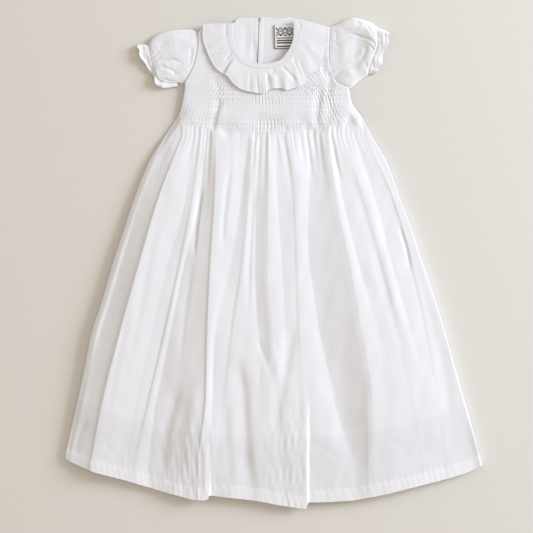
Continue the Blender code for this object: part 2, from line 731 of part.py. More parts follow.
def main():
    for obj in list(bpy.data.objects):
        bpy.data.objects.remove(obj, do_unlink=True)
    build_back_skirt()
    for side in ("left", "right"):
        build_back_bodice(side)
        build_back_collar(side)
        build_sleeve(side)
    build_underskirt()
    build_front()
    build_binding()
    build_collar()
    build_label()


main()
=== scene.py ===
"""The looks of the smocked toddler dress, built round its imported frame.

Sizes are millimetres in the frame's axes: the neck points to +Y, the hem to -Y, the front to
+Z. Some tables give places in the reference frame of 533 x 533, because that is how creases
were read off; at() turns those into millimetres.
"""

import math

import bpy
import numpy as np
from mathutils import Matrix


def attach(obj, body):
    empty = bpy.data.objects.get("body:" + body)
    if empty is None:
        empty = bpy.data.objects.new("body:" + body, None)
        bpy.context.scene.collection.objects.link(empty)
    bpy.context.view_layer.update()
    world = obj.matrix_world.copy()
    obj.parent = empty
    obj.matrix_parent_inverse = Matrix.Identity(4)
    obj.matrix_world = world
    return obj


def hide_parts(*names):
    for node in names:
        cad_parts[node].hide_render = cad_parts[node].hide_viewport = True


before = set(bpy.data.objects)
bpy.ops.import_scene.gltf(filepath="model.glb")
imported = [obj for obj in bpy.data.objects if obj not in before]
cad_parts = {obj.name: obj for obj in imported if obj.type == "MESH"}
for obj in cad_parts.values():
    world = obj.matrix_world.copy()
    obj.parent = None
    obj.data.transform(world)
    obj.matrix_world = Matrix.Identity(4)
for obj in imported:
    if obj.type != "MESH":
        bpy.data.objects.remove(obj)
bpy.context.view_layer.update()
MM = 0.001
PITCH = 1.35  # millimetres on the surface for one step of the reference frame
rng = np.random.default_rng(7)

# ------------------------------------------------------------------ sizes, as in the CAD
CLOTH = 1.0
SEAM_GAP = 0.4
LINING_LOW = 1.3
LINING_TOP = 3.6
FRONT_LOW = 3.9
BODICE_LOW = 2.9
COLLAR_LOW = 6.8
BINDING = (3.6, 8.6)
BINDING_WIDE = 8.0
CHEST_Y = 172.0
LINING_INSET = 12.0
SLIT = 2.6
THIN = 0.45  # thickness of the cloth as it shows

# y, x of the left side, x of the right side
SIDES = [
    (236.0, -119.5, 101.3),
    (214.0, -123.0, 106.0),
    (198.0, -128.0, 117.0),
    (188.0, -135.0, 123.0),
    (165.0, -150.5, 135.5),
    (138.0, -167.0, 151.0),
    (87.0, -188.0, 170.0),
    (45.0, -202.0, 185.5),
    (0.0, -217.0, 200.5),
    (-60.0, -234.5, 220.5),
    (-91.0, -245.0, 230.0),
    (-140.0, -255.0, 243.5),
    (-190.0, -265.5, 258.5),
    (-241.0, -277.5, 273.0),
    (-260.0, -281.2, 278.0),
    (-273.0, -279.0, 281.2),
]
# x, y of the hem's lower edge, with the two folds that lap over their right neighbour
HEM = [
    (-281.0, -262.0),
    (-276.0, -267.0),
    (-241.0, -281.5),
    (-199.0, -293.0),
    (-156.0, -306.0),
    (-109.0, -318.7),
    (-92.5, -319.5),
    (-87.5, -317.5),
    (-86.5, -313.0),
    (-55.0, -316.5),
    (-20.0, -320.5),
    (7.0, -326.0),
    (34.0, -330.0),
    (44.5, -331.2),
    (46.0, -322.5),
    (75.0, -322.0),
    (109.0, -319.7),
    (153.0, -311.0),
    (198.0, -299.7),
    (236.0, -290.3),
    (261.0, -282.8),
    (281.2, -272.8),
]
# Hollows between the skirt's folds: x of the foot of the steep side, how far the easy left
# side reaches, and the depth as a share of the fold's height, each at LEVELS.
LEVELS = (170.0, 85.0, 0.0, -90.0, -180.0, -270.0)
HOLLOWS = [
    ("side", (-125, -157, -182, -207, -230, -248), (19, 22, 23, 25, 28, 34), (0.90, 1.00, 1.00, 1.05, 1.05, 0.80)),
    ("left_small", (-100, -111, -127.5, -147, -168, -189), (6, 7, 13, 15, 14, 9), (0.40, 0.60, 0.65, 0.65, 0.55, 0.12)),
    ("left_deep", (-79, -81.5, -87, -91, -93, -104), (11, 18, 32, 50, 66, 64), (0.90, 0.90, 0.88, 0.86, 0.84, 0.76)),
    ("left_mid", (-29, -36, -44, -57, -67, -76), (5, 7, 12, 20, 14, 10), (0.50, 0.60, 0.58, 0.50, 0.15, 0.0)),
    ("centre", (-9, -10.5, -11, -6, 6, 11), (8, 12, 13, 14, 10, 10), (0.60, 0.56, 0.44, 0.28, 0.0, 0.0)),
    ("right_mid", (14, 26, 29, 32, 34, 26), (14, 20, 17, 15, 22, 44), (0.54, 0.42, 0.40, 0.26, 0.0, 0.0)),
    ("wide", (71, 81, 98, 114, 128, 130), (20, 32, 48, 51, 45, 20), (0.98, 1.06, 1.06, 1.04, 1.0, 0.60)),
    ("right_soft", (92, 118, 142, 165, 184, 198), (14, 24, 27, 24, 16, 12), (0.22, 0.28, 0.22, 0.12, 0.0, 0.0)),
    ("right_crease", (121, 159, 183, 204, 219, 230), (12, 22, 24, 20, 8, 8), (0.28, 0.34, 0.26, 0.14, 0.0, 0.0)),
    ("right_side", (131, 168, 194, 217, 234, 245), (6, 6, 6, 12, 20, 24), (0.0, 0.0, 0.0, 0.0, 0.0, 0.0)),
]
# how high each ridge between the hollows stands, against CREST, at LEVELS, left to right
RIDGES = [
    ("side_rim", (0.62, 0.52, 0.52, 0.56, 0.54, 0.50)),
    ("left_broad", (1.00, 1.00, 1.00, 1.00, 0.98, 0.98)),
    ("left_narrow", (0.85, 0.80, 0.76, 0.71, 0.63, 0.63)),
    ("left_middle", (1.05, 1.05, 1.05, 1.07, 1.15, 1.16)),
    ("middle", (0.95, 0.90, 0.88, 0.92, 0.96, 1.00)),
    ("middle_right", (1.00, 0.97, 0.94, 0.94, 0.92, 0.95)),
    ("right_narrow", (0.90, 0.84, 0.78, 0.78, 0.86, 1.00)),
    ("right_broad", (0.97, 0.99, 1.02, 1.03, 1.04, 1.00)),
    ("right_first", (0.95, 0.96, 0.96, 0.95, 0.92, 0.90)),
    ("right_second", (0.90, 0.88, 0.87, 0.84, 0.80, 0.78)),
    ("right_rim", (0.88, 0.85, 0.85, 0.82, 0.78, 0.76)),
]
WALL = (2.2, 3.2, 2.4, 4.2, 4.2, 4.2, 6.6, 5.0, 4.0, 2.2)  # plan width of each hollow's steep side
SLOPE = 0.075  # how fast the cloth may fall before a hollow
FALL = 0.50  # how much of the hollow's depth the drawn cloth follows
FOOT = (0.32, 0.15, 0.20, 0.15, 0.17, 0.15, 0.10, 0.20, 0.30, 0.20)  # share of the depth left for the steep part
STEEPEN = (1.25, 1.25, 1.05, 1.25, 1.25, 1.4, 1.7, 1.25, 1.25, 1.25)  # how late each easy side rises
# y, height of the crests over the hollows
CREST = [(300, 0.5), (200, 1.6), (172, 3.2), (150, 5.2), (130, 6.8), (85, 9.2), (0, 11.6), (-90, 12.5), (-180, 11.5), (-270, 8.5), (-331, 6.5)]

NECK_X = -12.5
NECK_IN = [(332, -40, 37), (322, -41.8, 39.3), (306, -42.2, 39.5), (297, -41, 37.7), (289, -38, 34.5), (280, -32.7, 28.8), (273.4, -26, 22.5), (268.8, -14, 11.5)]
ARMHOLES = {
    "left": ((-101.5, 310.0), (-120.5, 240.5), 6.0),
    "right": ((75.5, 316.5), (103.5, 234.5), 17.0),
}
# the right armhole as it lies: y, x
ARMHOLE_RIGHT = [(316.5, 75.5), (304.4, 74.8), (292.3, 74.3), (280.1, 74.1), (268.0, 74.8), (255.8, 77.1), (242.3, 85.6), (234.5, 103.5)]
# outer end of each of the collar's 26 lines, from the left shoulder round to the right, and
# its lift
COLLAR = [
    (-94.5, 321.0, 0.3),
    (-95.5, 309.0, 1.2),
    (-94.5, 298.0, 0.6),
    (-90.5, 286.0, 1.6),
    (-85.0, 273.0, 1.0),
    (-78.0, 261.5, 1.2),
    (-69.0, 254.5, 0.2),
    (-62.5, 251.0, 3.0),
    (-54.0, 240.5, 2.0),
    (-43.5, 233.0, 1.2),
    (-31.5, 229.5, 0.9),
    (-20.5, 227.8, 1.2),
    (-12.5, 227.0, 2.0),
    (-6.5, 232.0, 0.2),
    (2.0, 234.0, 1.6),
    (10.5, 234.5, 0.6),
    (18.0, 231.8, 2.4),
    (27.5, 234.5, 1.0),
    (36.5, 236.5, 2.0),
    (45.5, 244.5, 0.8),
    (52.5, 254.5, 2.2),
    (61.0, 259.5, 1.0),
    (66.0, 273.0, 1.8),
    (69.5, 288.0, 0.8),
    (71.5, 303.0, 1.4),
    (72.5, 317.0, 0.3),
]
LABEL = {"x": 0.3, "y": 311.8, "wide": 29.0, "tall": 32.0, "low": 2.6, "thick": 0.6, "turn": 1.5}


# ------------------------------------------------------------------------------ helpers
def ease(t):
    t = np.clip(t, 0.0, 1.0)
    return t * t * (3.0 - 2.0 * t)


def bell(t):
    return np.exp(-np.square(t))


def through(x, at, values):
    """A smooth curve through a short table, without overshoot; at may rise or fall."""
    at, values = np.asarray(at, float), np.asarray(values, float)
    if at[0] > at[-1]:
        at, values = at[::-1], values[::-1]
    x = np.clip(np.asarray(x, float), at[0], at[-1])
    h = np.diff(at)
    rise = np.diff(values) / h
    slope = np.zeros_like(values)
    same = rise[:-1] * rise[1:] > 0
    w1, w2 = 2 * h[1:] + h[:-1], h[1:] + 2 * h[:-1]
    with np.errstate(divide="ignore", invalid="ignore"):
        inner = (w1 + w2) / (w1 / rise[:-1] + w2 / rise[1:])
    slope[1:-1] = np.where(same, inner, 0.0)
    slope[0], slope[-1] = rise[0], rise[-1]
    i = np.clip(np.searchsorted(at, x, side="right") - 1, 0, len(h) - 1)
    t = (x - at[i]) / h[i]
    return (
        (2 * t**3 - 3 * t**2 + 1) * values[i]
        + (t**3 - 2 * t**2 + t) * h[i] * slope[i]
        + (-2 * t**3 + 3 * t**2) * values[i + 1]
        + (t**3 - t**2) * h[i] * slope[i + 1]
    )


def column(table, k):
    return [row[k] for row in table]


def at(points):
    """Places in the reference frame as millimetres on the surface."""
    return [((p[0] - 273.5) * PITCH, (262.5 - p[1]) * PITCH) + tuple(p[2:]) for p in points]


def side_x(y, side):
    return through(y, column(SIDES, 0), column(SIDES, 1 if side == "left" else 2))


def hem_y(x):
    return np.interp(x, column(HEM, 0), column(HEM, 1))


def chest_y(x):
    return CHEST_Y + 14.0 * np.clip(np.abs(np.asarray(x, float) + 15.0) / 110.0, 0, 1.4) ** 2


def to_line(path, x, y):
    """Distance to a line, + on the right of one that runs down, and the way along it."""
    p = np.array(path, float)
    if len(p) > 2:
        run = np.concatenate([[0], np.cumsum(np.hypot(*np.diff(p, axis=0).T))])
        s = np.linspace(0, run[-1], 14)
        p = np.stack([through(s, run, p[:, 0]), through(s, run, p[:, 1])], -1)
    long = np.hypot(*np.diff(p, axis=0).T)
    run = np.concatenate([[0], np.cumsum(long)])
    best = np.full(x.shape, 1e9)
    sign, way = np.zeros(x.shape), np.zeros(x.shape)
    for k in range(len(p) - 1):
        (ax, ay), (dx, dy) = p[k], p[k + 1] - p[k]
        t = np.clip(((x - ax) * dx + (y - ay) * dy) / max(long[k] ** 2, 1e-9), 0, 1)
        ex, ey = x - (ax + dx * t), y - (ay + dy * t)
        far = np.hypot(ex, ey)
        near = far < best
        best = np.where(near, far, best)
        sign = np.where(near, np.where(dx * ey - dy * ex > 0, 1.0, -1.0), sign)
        way = np.where(near, (run[k] + t * long[k]) / run[-1], way)
    return best * sign, way


def crease(z, x, y, path, depth, left, right, ends=(0.2, 0.3)):
    """A soft trough along a line, or a ridge if depth is negative. left and right are how far
    it reaches to each side, ends the shares of it that fade in and out."""
    p = np.array(path, float)
    far = 3.0 * max(left, right)
    m = (x > p[:, 0].min() - far) & (x < p[:, 0].max() + far) & (y > p[:, 1].min() - far) & (y < p[:, 1].max() + far)
    if not m.any():
        return
    d, way = to_line(path, x[m], y[m])
    shape = bell(d / np.where(d < 0, left, right))
    fade = ease(way / max(ends[0], 1e-6)) * ease((1 - way) / max(ends[1], 1e-6)) if ends else 1.0
    z[m] -= depth * shape * fade


def rumple(x, y, size, seed, stretch=1.0):
    """Soft uneven waves of about this size, from a few sums of sines, -1 to 1."""
    r = np.random.default_rng(seed)
    total = np.zeros(np.broadcast(x, y).shape)
    for _ in range(7):
        turn = r.uniform(0, 2 * math.pi)
        k = 2 * math.pi / (size * r.uniform(0.7, 1.5))
        total += np.sin(k * (x * math.cos(turn) + y * math.sin(turn) / stretch) + r.uniform(0, 6.3))
    return total / 4.0


# ------------------------------------------------------------------------------ meshes
def mesh_piece(name, points, quads, material, attributes=None, smooth=True):
    mesh = bpy.data.meshes.new(name)
    mesh.from_pydata((np.asarray(points, float) * MM).tolist(), [], np.asarray(quads).tolist() if not isinstance(quads, list) else quads)
    for key, values in (attributes or {}).items():
        values = np.asarray(values, np.float32)
        if values.ndim == 1:
            mesh.attributes.new(key, "FLOAT", "POINT").data.foreach_set("value", values)
        else:
            mesh.attributes.new(key, "FLOAT_VECTOR", "POINT").data.foreach_set("vector", values.reshape(-1))
    if smooth:
        mesh.shade_smooth()
    mesh.materials.append(material)
    made = bpy.data.objects.new(name, mesh)
    bpy.context.collection.objects.link(made)
    return made


def cloth_piece(name, x, y, z, material, cloth=None, keep=None, around=False, thin=THIN, down=True, extra=None):
    """A thin shell over a grid of points. Rows run down the dress and columns to the right
    for an upper side, and around joins the last column to the first."""
    rows, cols = x.shape
    index = np.arange(rows * cols).reshape(rows, cols)
    if around:
        index = np.concatenate([index, index[:, :1]], 1)
    quads = np.stack([index[:-1, :-1], index[1:, :-1], index[1:, 1:], index[:-1, 1:]], -1)
    if keep is not None:
        quads = quads[keep]
    quads = quads.reshape(-1, 4)
    points = np.stack([x, y, z], -1).reshape(-1, 3)
    used = np.zeros(len(points), bool)
    used[quads] = True
    new = np.cumsum(used) - 1
    attributes = {}
    if cloth is None:
        cloth = (x, y)
    attributes["cloth"] = np.stack([cloth[0], cloth[1], np.zeros_like(x)], -1).reshape(-1, 3)[used]
    for key, values in (extra or {}).items():
        attributes[key] = values.reshape(-1)[used]
    made = mesh_piece(name, points[used], new[quads], material, attributes)
    mesh = made.data
    rim = np.zeros(len(mesh.edges), bool)
    side_of = np.zeros(len(mesh.loops), np.int32)
    mesh.loops.foreach_get("edge_index", side_of)
    rim[np.bincount(side_of, minlength=len(mesh.edges)) == 1] = True
    if rim.any():
        mesh.attributes.new("sharp_edge", "BOOLEAN", "EDGE").data.foreach_set("value", rim)
    if thin:
        shell = made.modifiers.new("thin", "SOLIDIFY")
        shell.thickness = thin * MM
        shell.offset = -1.0 if down else 1.0
        shell.use_rim = True
    return made


def capsules(name, starts, ends, radius, material, up=None, sides=6, arch=0.0):
    """One joined mesh of short threads from start to end, round and tapered at both ends."""
    starts, ends = np.asarray(starts, float), np.asarray(ends, float)
    count = len(starts)
    radius = np.broadcast_to(np.asarray(radius, float), (count,))
    share = np.array([0.0, 0.12, 0.35, 0.65, 0.88, 1.0])
    girth = np.array([0.35, 0.85, 1.0, 1.0, 0.85, 0.35])
    axis = ends - starts
    long = np.linalg.norm(axis, axis=1, keepdims=True)
    axis = axis / np.maximum(long, 1e-9)
    up = np.array([0.0, 0.0, 1.0]) if up is None else up
    side = np.cross(axis, up)
    side /= np.maximum(np.linalg.norm(side, axis=1, keepdims=True), 1e-9)
    over = np.cross(side, axis)
    turn = np.arange(sides) * 2 * math.pi / sides
    rings = []
    for s, g in zip(share, girth):
        middle = starts + (ends - starts) * s + over * (arch * math.sin(math.pi * s))
        ring = middle[:, None] + (radius * g)[:, None, None] * (np.cos(turn)[None, :, None] * side[:, None] + np.sin(turn)[None, :, None] * over[:, None])
        rings.append(ring)
    points = np.stack(rings, 1).reshape(-1, 3)  # count, ring, sides
    faces = []
    base = np.arange(count) * len(share) * sides
    for j in range(len(share) - 1):
        for i in range(sides):
            a, b = j * sides + i, j * sides + (i + 1) % sides
            faces.append(np.stack([base + a, base + a + sides, base + b + sides, base + b], -1))
    quads = np.concatenate(faces).tolist()
    first = [[int(k + i) for i in range(sides)] for k in base]
    last = [[int(k + (len(share) - 1) * sides + i) for i in reversed(range(sides))] for k in base]
    made = mesh_piece(name, points, quads + first + last, material, {"cloth": points})
    return made


# ---------------------------------------------------------------------------- materials
def nodes_of(name):
    made = bpy.data.materials.new(name)
    made.use_nodes = True
    tree = made.node_tree
    tree.nodes.clear()
    return made, tree


def node(tree, kind, **settings):
    made = tree.nodes.new(kind)
    inputs = settings.pop("inputs", {})
    for key, value in settings.items():
        setattr(made, key, value)
    for key, value in inputs.items():
        socket = made.inputs[key]
        if isinstance(value, bpy.types.NodeSocket):
            tree.links.new(value, socket)
        else:
            socket.default_value = value
    return made


def maths(tree, operation, a, b=None, c=None, clamp=False):
    made = tree.nodes.new("ShaderNodeMath")
    made.operation, made.use_clamp = operation, clamp
    for k, value in enumerate((a, b, c)):
        if value is None:
            continue
        if isinstance(value, bpy.types.NodeSocket):
            tree.links.new(value, made.inputs[k])
        else:
            made.inputs[k].default_value = value
    return made.outputs[0]


def between(tree, value, low, high, a=0.0, b=1.0):
    made = node(tree, "ShaderNodeMapRange", inputs={"Value": value, "From Min": low, "From Max": high, "To Min": a, "To Max": b})
    return made.outputs["Result"]


def mix_colour(tree, share, a, b):
    made = tree.nodes.new("ShaderNodeMix")
    made.data_type = "RGBA"
    for key, value in ((0, share), (6, a), (7, b)):
        if isinstance(value, bpy.types.NodeSocket):
            tree.links.new(value, made.inputs[key])
        else:
            made.inputs[key].default_value = value
    return made.outputs[2]


def cotton(name, colour=(0.853, 0.846, 0.875), through_share=0.1, weave=0.10, crumple=0.25, hem=False, slub=0.03, smocked=False):
    """Fine white cotton lawn: a plain weave that follows the cloth, thin slubs along the
    warp, soft crumples, and some light let through. Its tone is a little darker in the soft
    crumples' dips, a slight painted shade; with hem set, the single cloth below the underskirt
    is painted darker and the doubled hem painted whiter, standing in for light through the cloth."""
    made, tree = nodes_of(name)
    cloth = node(tree, "ShaderNodeAttribute", attribute_name="cloth")
    parts = node(tree, "ShaderNodeSeparateXYZ", inputs={"Vector": cloth.outputs["Vector"]})
    along = maths(tree, "SINE", maths(tree, "MULTIPLY", parts.outputs[0], 2 * math.pi / 0.9))
    across = maths(tree, "SINE", maths(tree, "MULTIPLY", parts.outputs[1], 2 * math.pi / 0.9))
    plain = maths(tree, "MULTIPLY", along, across)
    warp = node(tree, "ShaderNodeMapping", inputs={"Vector": cloth.outputs["Vector"], "Scale": (0.75, 0.022, 1.0)})
    slubs = node(tree, "ShaderNodeTexNoise", inputs={"Vector": warp.outputs[0], "Scale": 1.0, "Detail": 3.0, "Roughness": 0.6})
    weft = node(tree, "ShaderNodeMapping", inputs={"Vector": cloth.outputs["Vector"], "Scale": (0.03, 0.6, 1.0)})
    cross = node(tree, "ShaderNodeTexNoise", inputs={"Vector": weft.outputs[0], "Scale": 1.0, "Detail": 2.0})
    geometry = node(tree, "ShaderNodeNewGeometry")
    place = node(tree, "ShaderNodeVectorMath", operation="SCALE", inputs={0: geometry.outputs["Position"], "Scale": 1000.0})
    soft = node(tree, "ShaderNodeTexNoise", inputs={"Vector": place.outputs[0], "Scale": 0.085, "Detail": 4.0, "Roughness": 0.62})
    fuzz = node(tree, "ShaderNodeTexNoise", inputs={"Vector": place.outputs[0], "Scale": 1.3, "Detail": 2.0})
    # height for the bump, in tenths of a millimetre
    height = maths(tree, "MULTIPLY", plain, weave)
    height = maths(tree, "MULTIPLY_ADD", slubs.outputs[0], 0.55, height)
    height = maths(tree, "MULTIPLY_ADD", cross.outputs[0], 0.35, height)
    height = maths(tree, "MULTIPLY_ADD", fuzz.outputs[0], 0.25, height)
    height = maths(tree, "MULTIPLY_ADD", soft.outputs[0], crumple * 12.0, height)
    if smocked:
        # small uneven cells where the pleats are caught by turns
        wander = node(tree, "ShaderNodeTexNoise", inputs={"Vector": place.outputs[0], "Scale": 0.16, "Detail": 2.0})
        shift = node(tree, "ShaderNodeVectorMath", operation="SCALE", inputs={0: wander.outputs["Color"], "Scale": 5.0})
        spot = node(tree, "ShaderNodeVectorMath", operation="ADD", inputs={0: place.outputs[0], 1: shift.outputs[0]})
        xy = node(tree, "ShaderNodeSeparateXYZ", inputs={"Vector": spot.outputs[0]})
        n = maths(tree, "MULTIPLY", xy.outputs[0], math.pi / 3.3)
        m = maths(tree, "MULTIPLY", xy.outputs[1], math.pi / 5.6)
        rise = maths(tree, "SINE", maths(tree, "ADD", n, m))
        lean = maths(tree, "SINE", maths(tree, "SUBTRACT", n, m))
        cell = maths(tree, "MULTIPLY", rise, lean)
        patch = node(tree, "ShaderNodeTexNoise", inputs={"Vector": place.outputs[0], "Scale": 0.30, "Detail": 2.0})
        strong = between(tree, patch.outputs[0], 0.36, 0.62, 0.15, 1.3)
        deep = node(tree, "ShaderNodeAttribute", attribute_name="smocked")
        strong = maths(tree, "MULTIPLY", strong, deep.outputs["Fac"])
        height = maths(tree, "MULTIPLY_ADD", maths(tree, "MULTIPLY", cell, strong), 4.4, height)
    shade = maths(tree, "MULTIPLY_ADD", maths(tree, "SUBTRACT", slubs.outputs[0], 0.5), slub, 1.0)
    shade = maths(tree, "MULTIPLY_ADD", maths(tree, "SUBTRACT", cross.outputs[0], 0.5), slub * 0.5, shade)
    # painted shade: the tone follows the soft crumples, a little darker in their dips and lighter on their rises
    shade = maths(tree, "MULTIPLY_ADD", maths(tree, "SUBTRACT", soft.outputs[0], 0.5), 0.02, shade)
    rgb = node(tree, "ShaderNodeVectorMath", operation="SCALE", inputs={0: tuple(colour), "Scale": shade}).outputs[0]
    if hem:
        # painted shade: the single cloth below the underskirt's edge is painted a little darker, standing
        # # in for the darker layers seen through it; the doubled hem is painted whiter, for less light going through
        below = node(tree, "ShaderNodeAttribute", attribute_name="past_lining")
        single = between(tree, below.outputs["Fac"], -0.9, 0.9)
        up = node(tree, "ShaderNodeAttribute", attribute_name="from_hem")
        band = between(tree, up.outputs["Fac"], 16.6, 17.6, 1.0, 0.0)
        painted_show_through = maths(tree, "MULTIPLY", single, maths(tree, "SUBTRACT", 1.0, band))
        rgb = mix_colour(tree, maths(tree, "MULTIPLY", painted_show_through, 0.9), rgb, (colour[0] * 0.96, colour[1] * 0.96, colour[2] * 0.965, 1.0))
        rgb = mix_colour(tree, maths(tree, "MULTIPLY", band, 0.5), rgb, (0.90, 0.885, 0.915, 1.0))
    bump = node(tree, "ShaderNodeBump", inputs={"Height": height, "Strength": 0.55, "Distance": 0.0001})
    cloth_shader = node(
        tree,
        "ShaderNodeBsdfPrincipled",
        inputs={"Base Color": rgb, "Roughness": 0.88, "Sheen Weight": 0.12, "Sheen Roughness": 0.5, "Specular IOR Level": 0.25, "Normal": bump.outputs[0]},
    )
    light = node(tree, "ShaderNodeBsdfTranslucent", inputs={"Color": rgb, "Normal": bump.outputs[0]})
    both = node(tree, "ShaderNodeMixShader", inputs={0: through_share, 1: cloth_shader.outputs[0], 2: light.outputs[0]})
    out = node(tree, "ShaderNodeOutputMaterial")
    tree.links.new(both.outputs[0], out.inputs["Surface"])
    return made


def thread_material():
    made, tree = nodes_of("white_thread")
    geometry = node(tree, "ShaderNodeNewGeometry")
    place = node(tree, "ShaderNodeVectorMath", operation="SCALE", inputs={0: geometry.outputs["Position"], "Scale": 1000.0})
    twist = node(tree, "ShaderNodeTexWave", wave_type="BANDS", bands_direction="DIAGONAL", inputs={"Vector": place.outputs[0], "Scale": 2.4, "Distortion": 0.6})
    # painted shade: the tone follows the twist's bump, darker in its grooves and lighter on its rises
    tone = mix_colour(tree, twist.outputs[1], (0.80, 0.80, 0.81, 1), (0.90, 0.90, 0.905, 1))
    bump = node(tree, "ShaderNodeBump", inputs={"Height": twist.outputs[1], "Strength": 0.4, "Distance": 0.0001})
    shader = node(tree, "ShaderNodeBsdfPrincipled", inputs={"Base Color": tone, "Roughness": 0.55, "Sheen Weight": 0.1, "Normal": bump.outputs[0]})
    out = node(tree, "ShaderNodeOutputMaterial")
    tree.links.new(shader.outputs[0], out.inputs["Surface"])
    return made


def label_material():
    """A generic woven label: a narrow dark border, a running scroll and four plain bars."""
    made, tree = nodes_of("woven_label")
    spot = node(tree, "ShaderNodeAttribute", attribute_name="cloth")
    parts = node(tree, "ShaderNodeSeparateXYZ", inputs={"Vector": spot.outputs["Vector"]})
    u, v = parts.outputs[0], parts.outputs[1]  # 0..29 across and 0..32 up

    def inside(value, low, high, soft=0.25):
        return maths(tree, "MULTIPLY", between(tree, value, low - soft, low + soft), between(tree, value, high - soft, high + soft, 1.0, 0.0))

    # a narrow border down both sides and along the foot
    body = maths(tree, "MULTIPLY", inside(u, 1.2, 27.8), between(tree, v, 0.95, 1.45))
    ink = maths(tree, "SUBTRACT", 1.0, body)
    ink = maths(tree, "MULTIPLY", ink, 0.85)
    for low, high in ((2.4, 4.2), (6.9, 8.9), (10.2, 12.0), (13.7, 15.0)):
        bar_shape = maths(tree, "MULTIPLY", inside(v, low, high), inside(u, 3.4, 25.6))
        ink = maths(tree, "MAXIMUM", ink, bar_shape)
    # a running scroll: a waving stem with a ring and a dot in each of its bends
    stem_v = maths(tree, "MULTIPLY_ADD", maths(tree, "SINE", maths(tree, "MULTIPLY", u, 0.5236)), 4.6, 22.9)
    stem = between(tree, maths(tree, "ABSOLUTE", maths(tree, "SUBTRACT", v, stem_v)), 1.1, 1.7, 1.0, 0.0)
    scroll = stem
    for start, level in ((3.0, 19.9), (9.0, 25.9)):
        turn = maths(tree, "FRACT", maths(tree, "DIVIDE", maths(tree, "SUBTRACT", u, start - 6.0), 12.0))
        du = maths(tree, "MULTIPLY", maths(tree, "SUBTRACT", turn, 0.5), 12.0)
        dv = maths(tree, "SUBTRACT", v, level)
        far = maths(tree, "SQRT", maths(tree, "ADD", maths(tree, "MULTIPLY", du, du), maths(tree, "MULTIPLY", dv, dv)))
        scroll = maths(tree, "MAXIMUM", scroll, inside(far, 1.9, 3.0, 0.25))
        scroll = maths(tree, "MAXIMUM", scroll, between(tree, far, 0.6, 1.1, 1.0, 0.0))
    scroll = maths(tree, "MULTIPLY", scroll, maths(tree, "MULTIPLY", inside(v, 16.4, 29.8), inside(u, 2.6, 26.4)))
    ink = maths(tree, "MAXIMUM", ink, scroll)
    rib = maths(tree, "SINE", maths(tree, "MULTIPLY", v, 2 * math.pi / 0.7))
    tone = mix_colour(tree, ink, (0.80, 0.80, 0.82, 1), (0.012, 0.012, 0.016, 1))
    bump = node(tree, "ShaderNodeBump", inputs={"Height": rib, "Strength": 0.35, "Distance": 0.0001})
    shader = node(tree, "ShaderNodeBsdfPrincipled", inputs={"Base Color": tone, "Roughness": 0.5, "Sheen Weight": 0.05, "Normal": bump.outputs[0]})
    out = node(tree, "ShaderNodeOutputMaterial")
    tree.links.new(shader.outputs[0], out.inputs["Surface"])
    return made


# the skirt's cotton carries the painted show-through shade below the underskirt and the painted whiter hem
SKIRT_CLOTH = cotton("cotton_skirt", hem=True)
PLAIN_CLOTH = cotton("cotton_plain")
SMOCK_CLOTH = cotton("cotton_smocked", crumple=0.08, through_share=0.12, smocked=True)
# the sleeves are the same cotton painted a little darker: painted shade for their dimmer look
SHADED_PUFF_CLOTH = cotton("cotton_sleeve_painted_shade", colour=(0.838, 0.831, 0.860), crumple=0.2)
LINING_CLOTH = cotton("cotton_lining", colour=(0.88, 0.87, 0.895), crumple=0.15)
THREAD = thread_material()
LABEL_CLOTH = label_material()


# --------------------------------------------------------------------------- the skirt
def steep_side(y, i):
    """The foot and the top of a hollow's steep side; narrower where the folds are close."""
    foot = through(y, LEVELS, HOLLOWS[i][1])
    wide = np.maximum(WALL[i] * through(y, LEVELS, (0.6, 0.85, 1.0, 1.0, 1.0, 1.0)), 2.2)
    return [foot - 0.5 * (wide - 2.2), foot + 0.5 * (wide + 2.2)]


def guide_lines(y):
    """The lines that the skirt's columns follow, at each of these heights."""
    lines = [side_x(y, "left")]
    for i in range(len(HOLLOWS)):
        lines += steep_side(y, i)
    lines.append(side_x(y, "right"))
    lines = np.array(lines)
    for i in range(1, len(lines)):
        lines[i] = np.maximum(lines[i], lines[i - 1] + 0.8)
    lines[-1] = side_x(y, "right")
    for i in range(len(lines) - 2, 0, -1):
        lines[i] = np.minimum(lines[i], lines[i + 1] - 0.8)
    return lines


def skirt_columns(total=400):
    """For each column, which stretch between guides it is in and how far across it."""
    mean = np.diff(guide_lines(np.array([-90.0]))[:, 0])
    wall = np.arange(len(mean)) % 2 == 1
    spare = total - 4 * wall.sum()
    count = np.where(wall, 4, np.maximum(4, np.round(mean * spare / mean[~wall].sum()))).astype(int)
    stretch, share = [], []
    for k, n in enumerate(count):
        t = np.arange(n) / n
        if not wall[k]:
            t = t - 0.10 * np.sin(2 * math.pi * t) / (2 * math.pi) * 1.0
        if k == len(count) - 1:  # closer together at the side fold
            t = 1 - (1 - t) ** 1.6
        stretch += [k] * n
        share += list(t)
    stretch.append(len(mean) - 1)
    share.append(1.0)
    return np.array(stretch), np.array(share)


STRETCH, SHARE = skirt_columns()


def skirt_x(y):
    """x of every column at its own height."""
    lines = guide_lines(y)
    k = np.arange(len(y))
    return lines[STRETCH, k] * (1 - SHARE) + lines[STRETCH + 1, k] * SHARE


def skirt_grid(rows):
    shares = np.concatenate([np.linspace(0, 0.14, 28, endpoint=False), np.linspace(0.14, 1, rows - 28)])
    guess = np.interp(np.linspace(0, 1, len(STRETCH)), [0, 1], [-147.0, 133.0])
    xs, ys = [], []
    for v in shares:
        for _ in range(8):
            y = chest_y(guess) * (1 - v) + hem_y(guess) * v
            guess = skirt_x(y)
        y = chest_y(guess) * (1 - v) + hem_y(guess) * v
        xs.append(guess.copy())
        ys.append(y)
    return np.array(xs), np.array(ys), shares


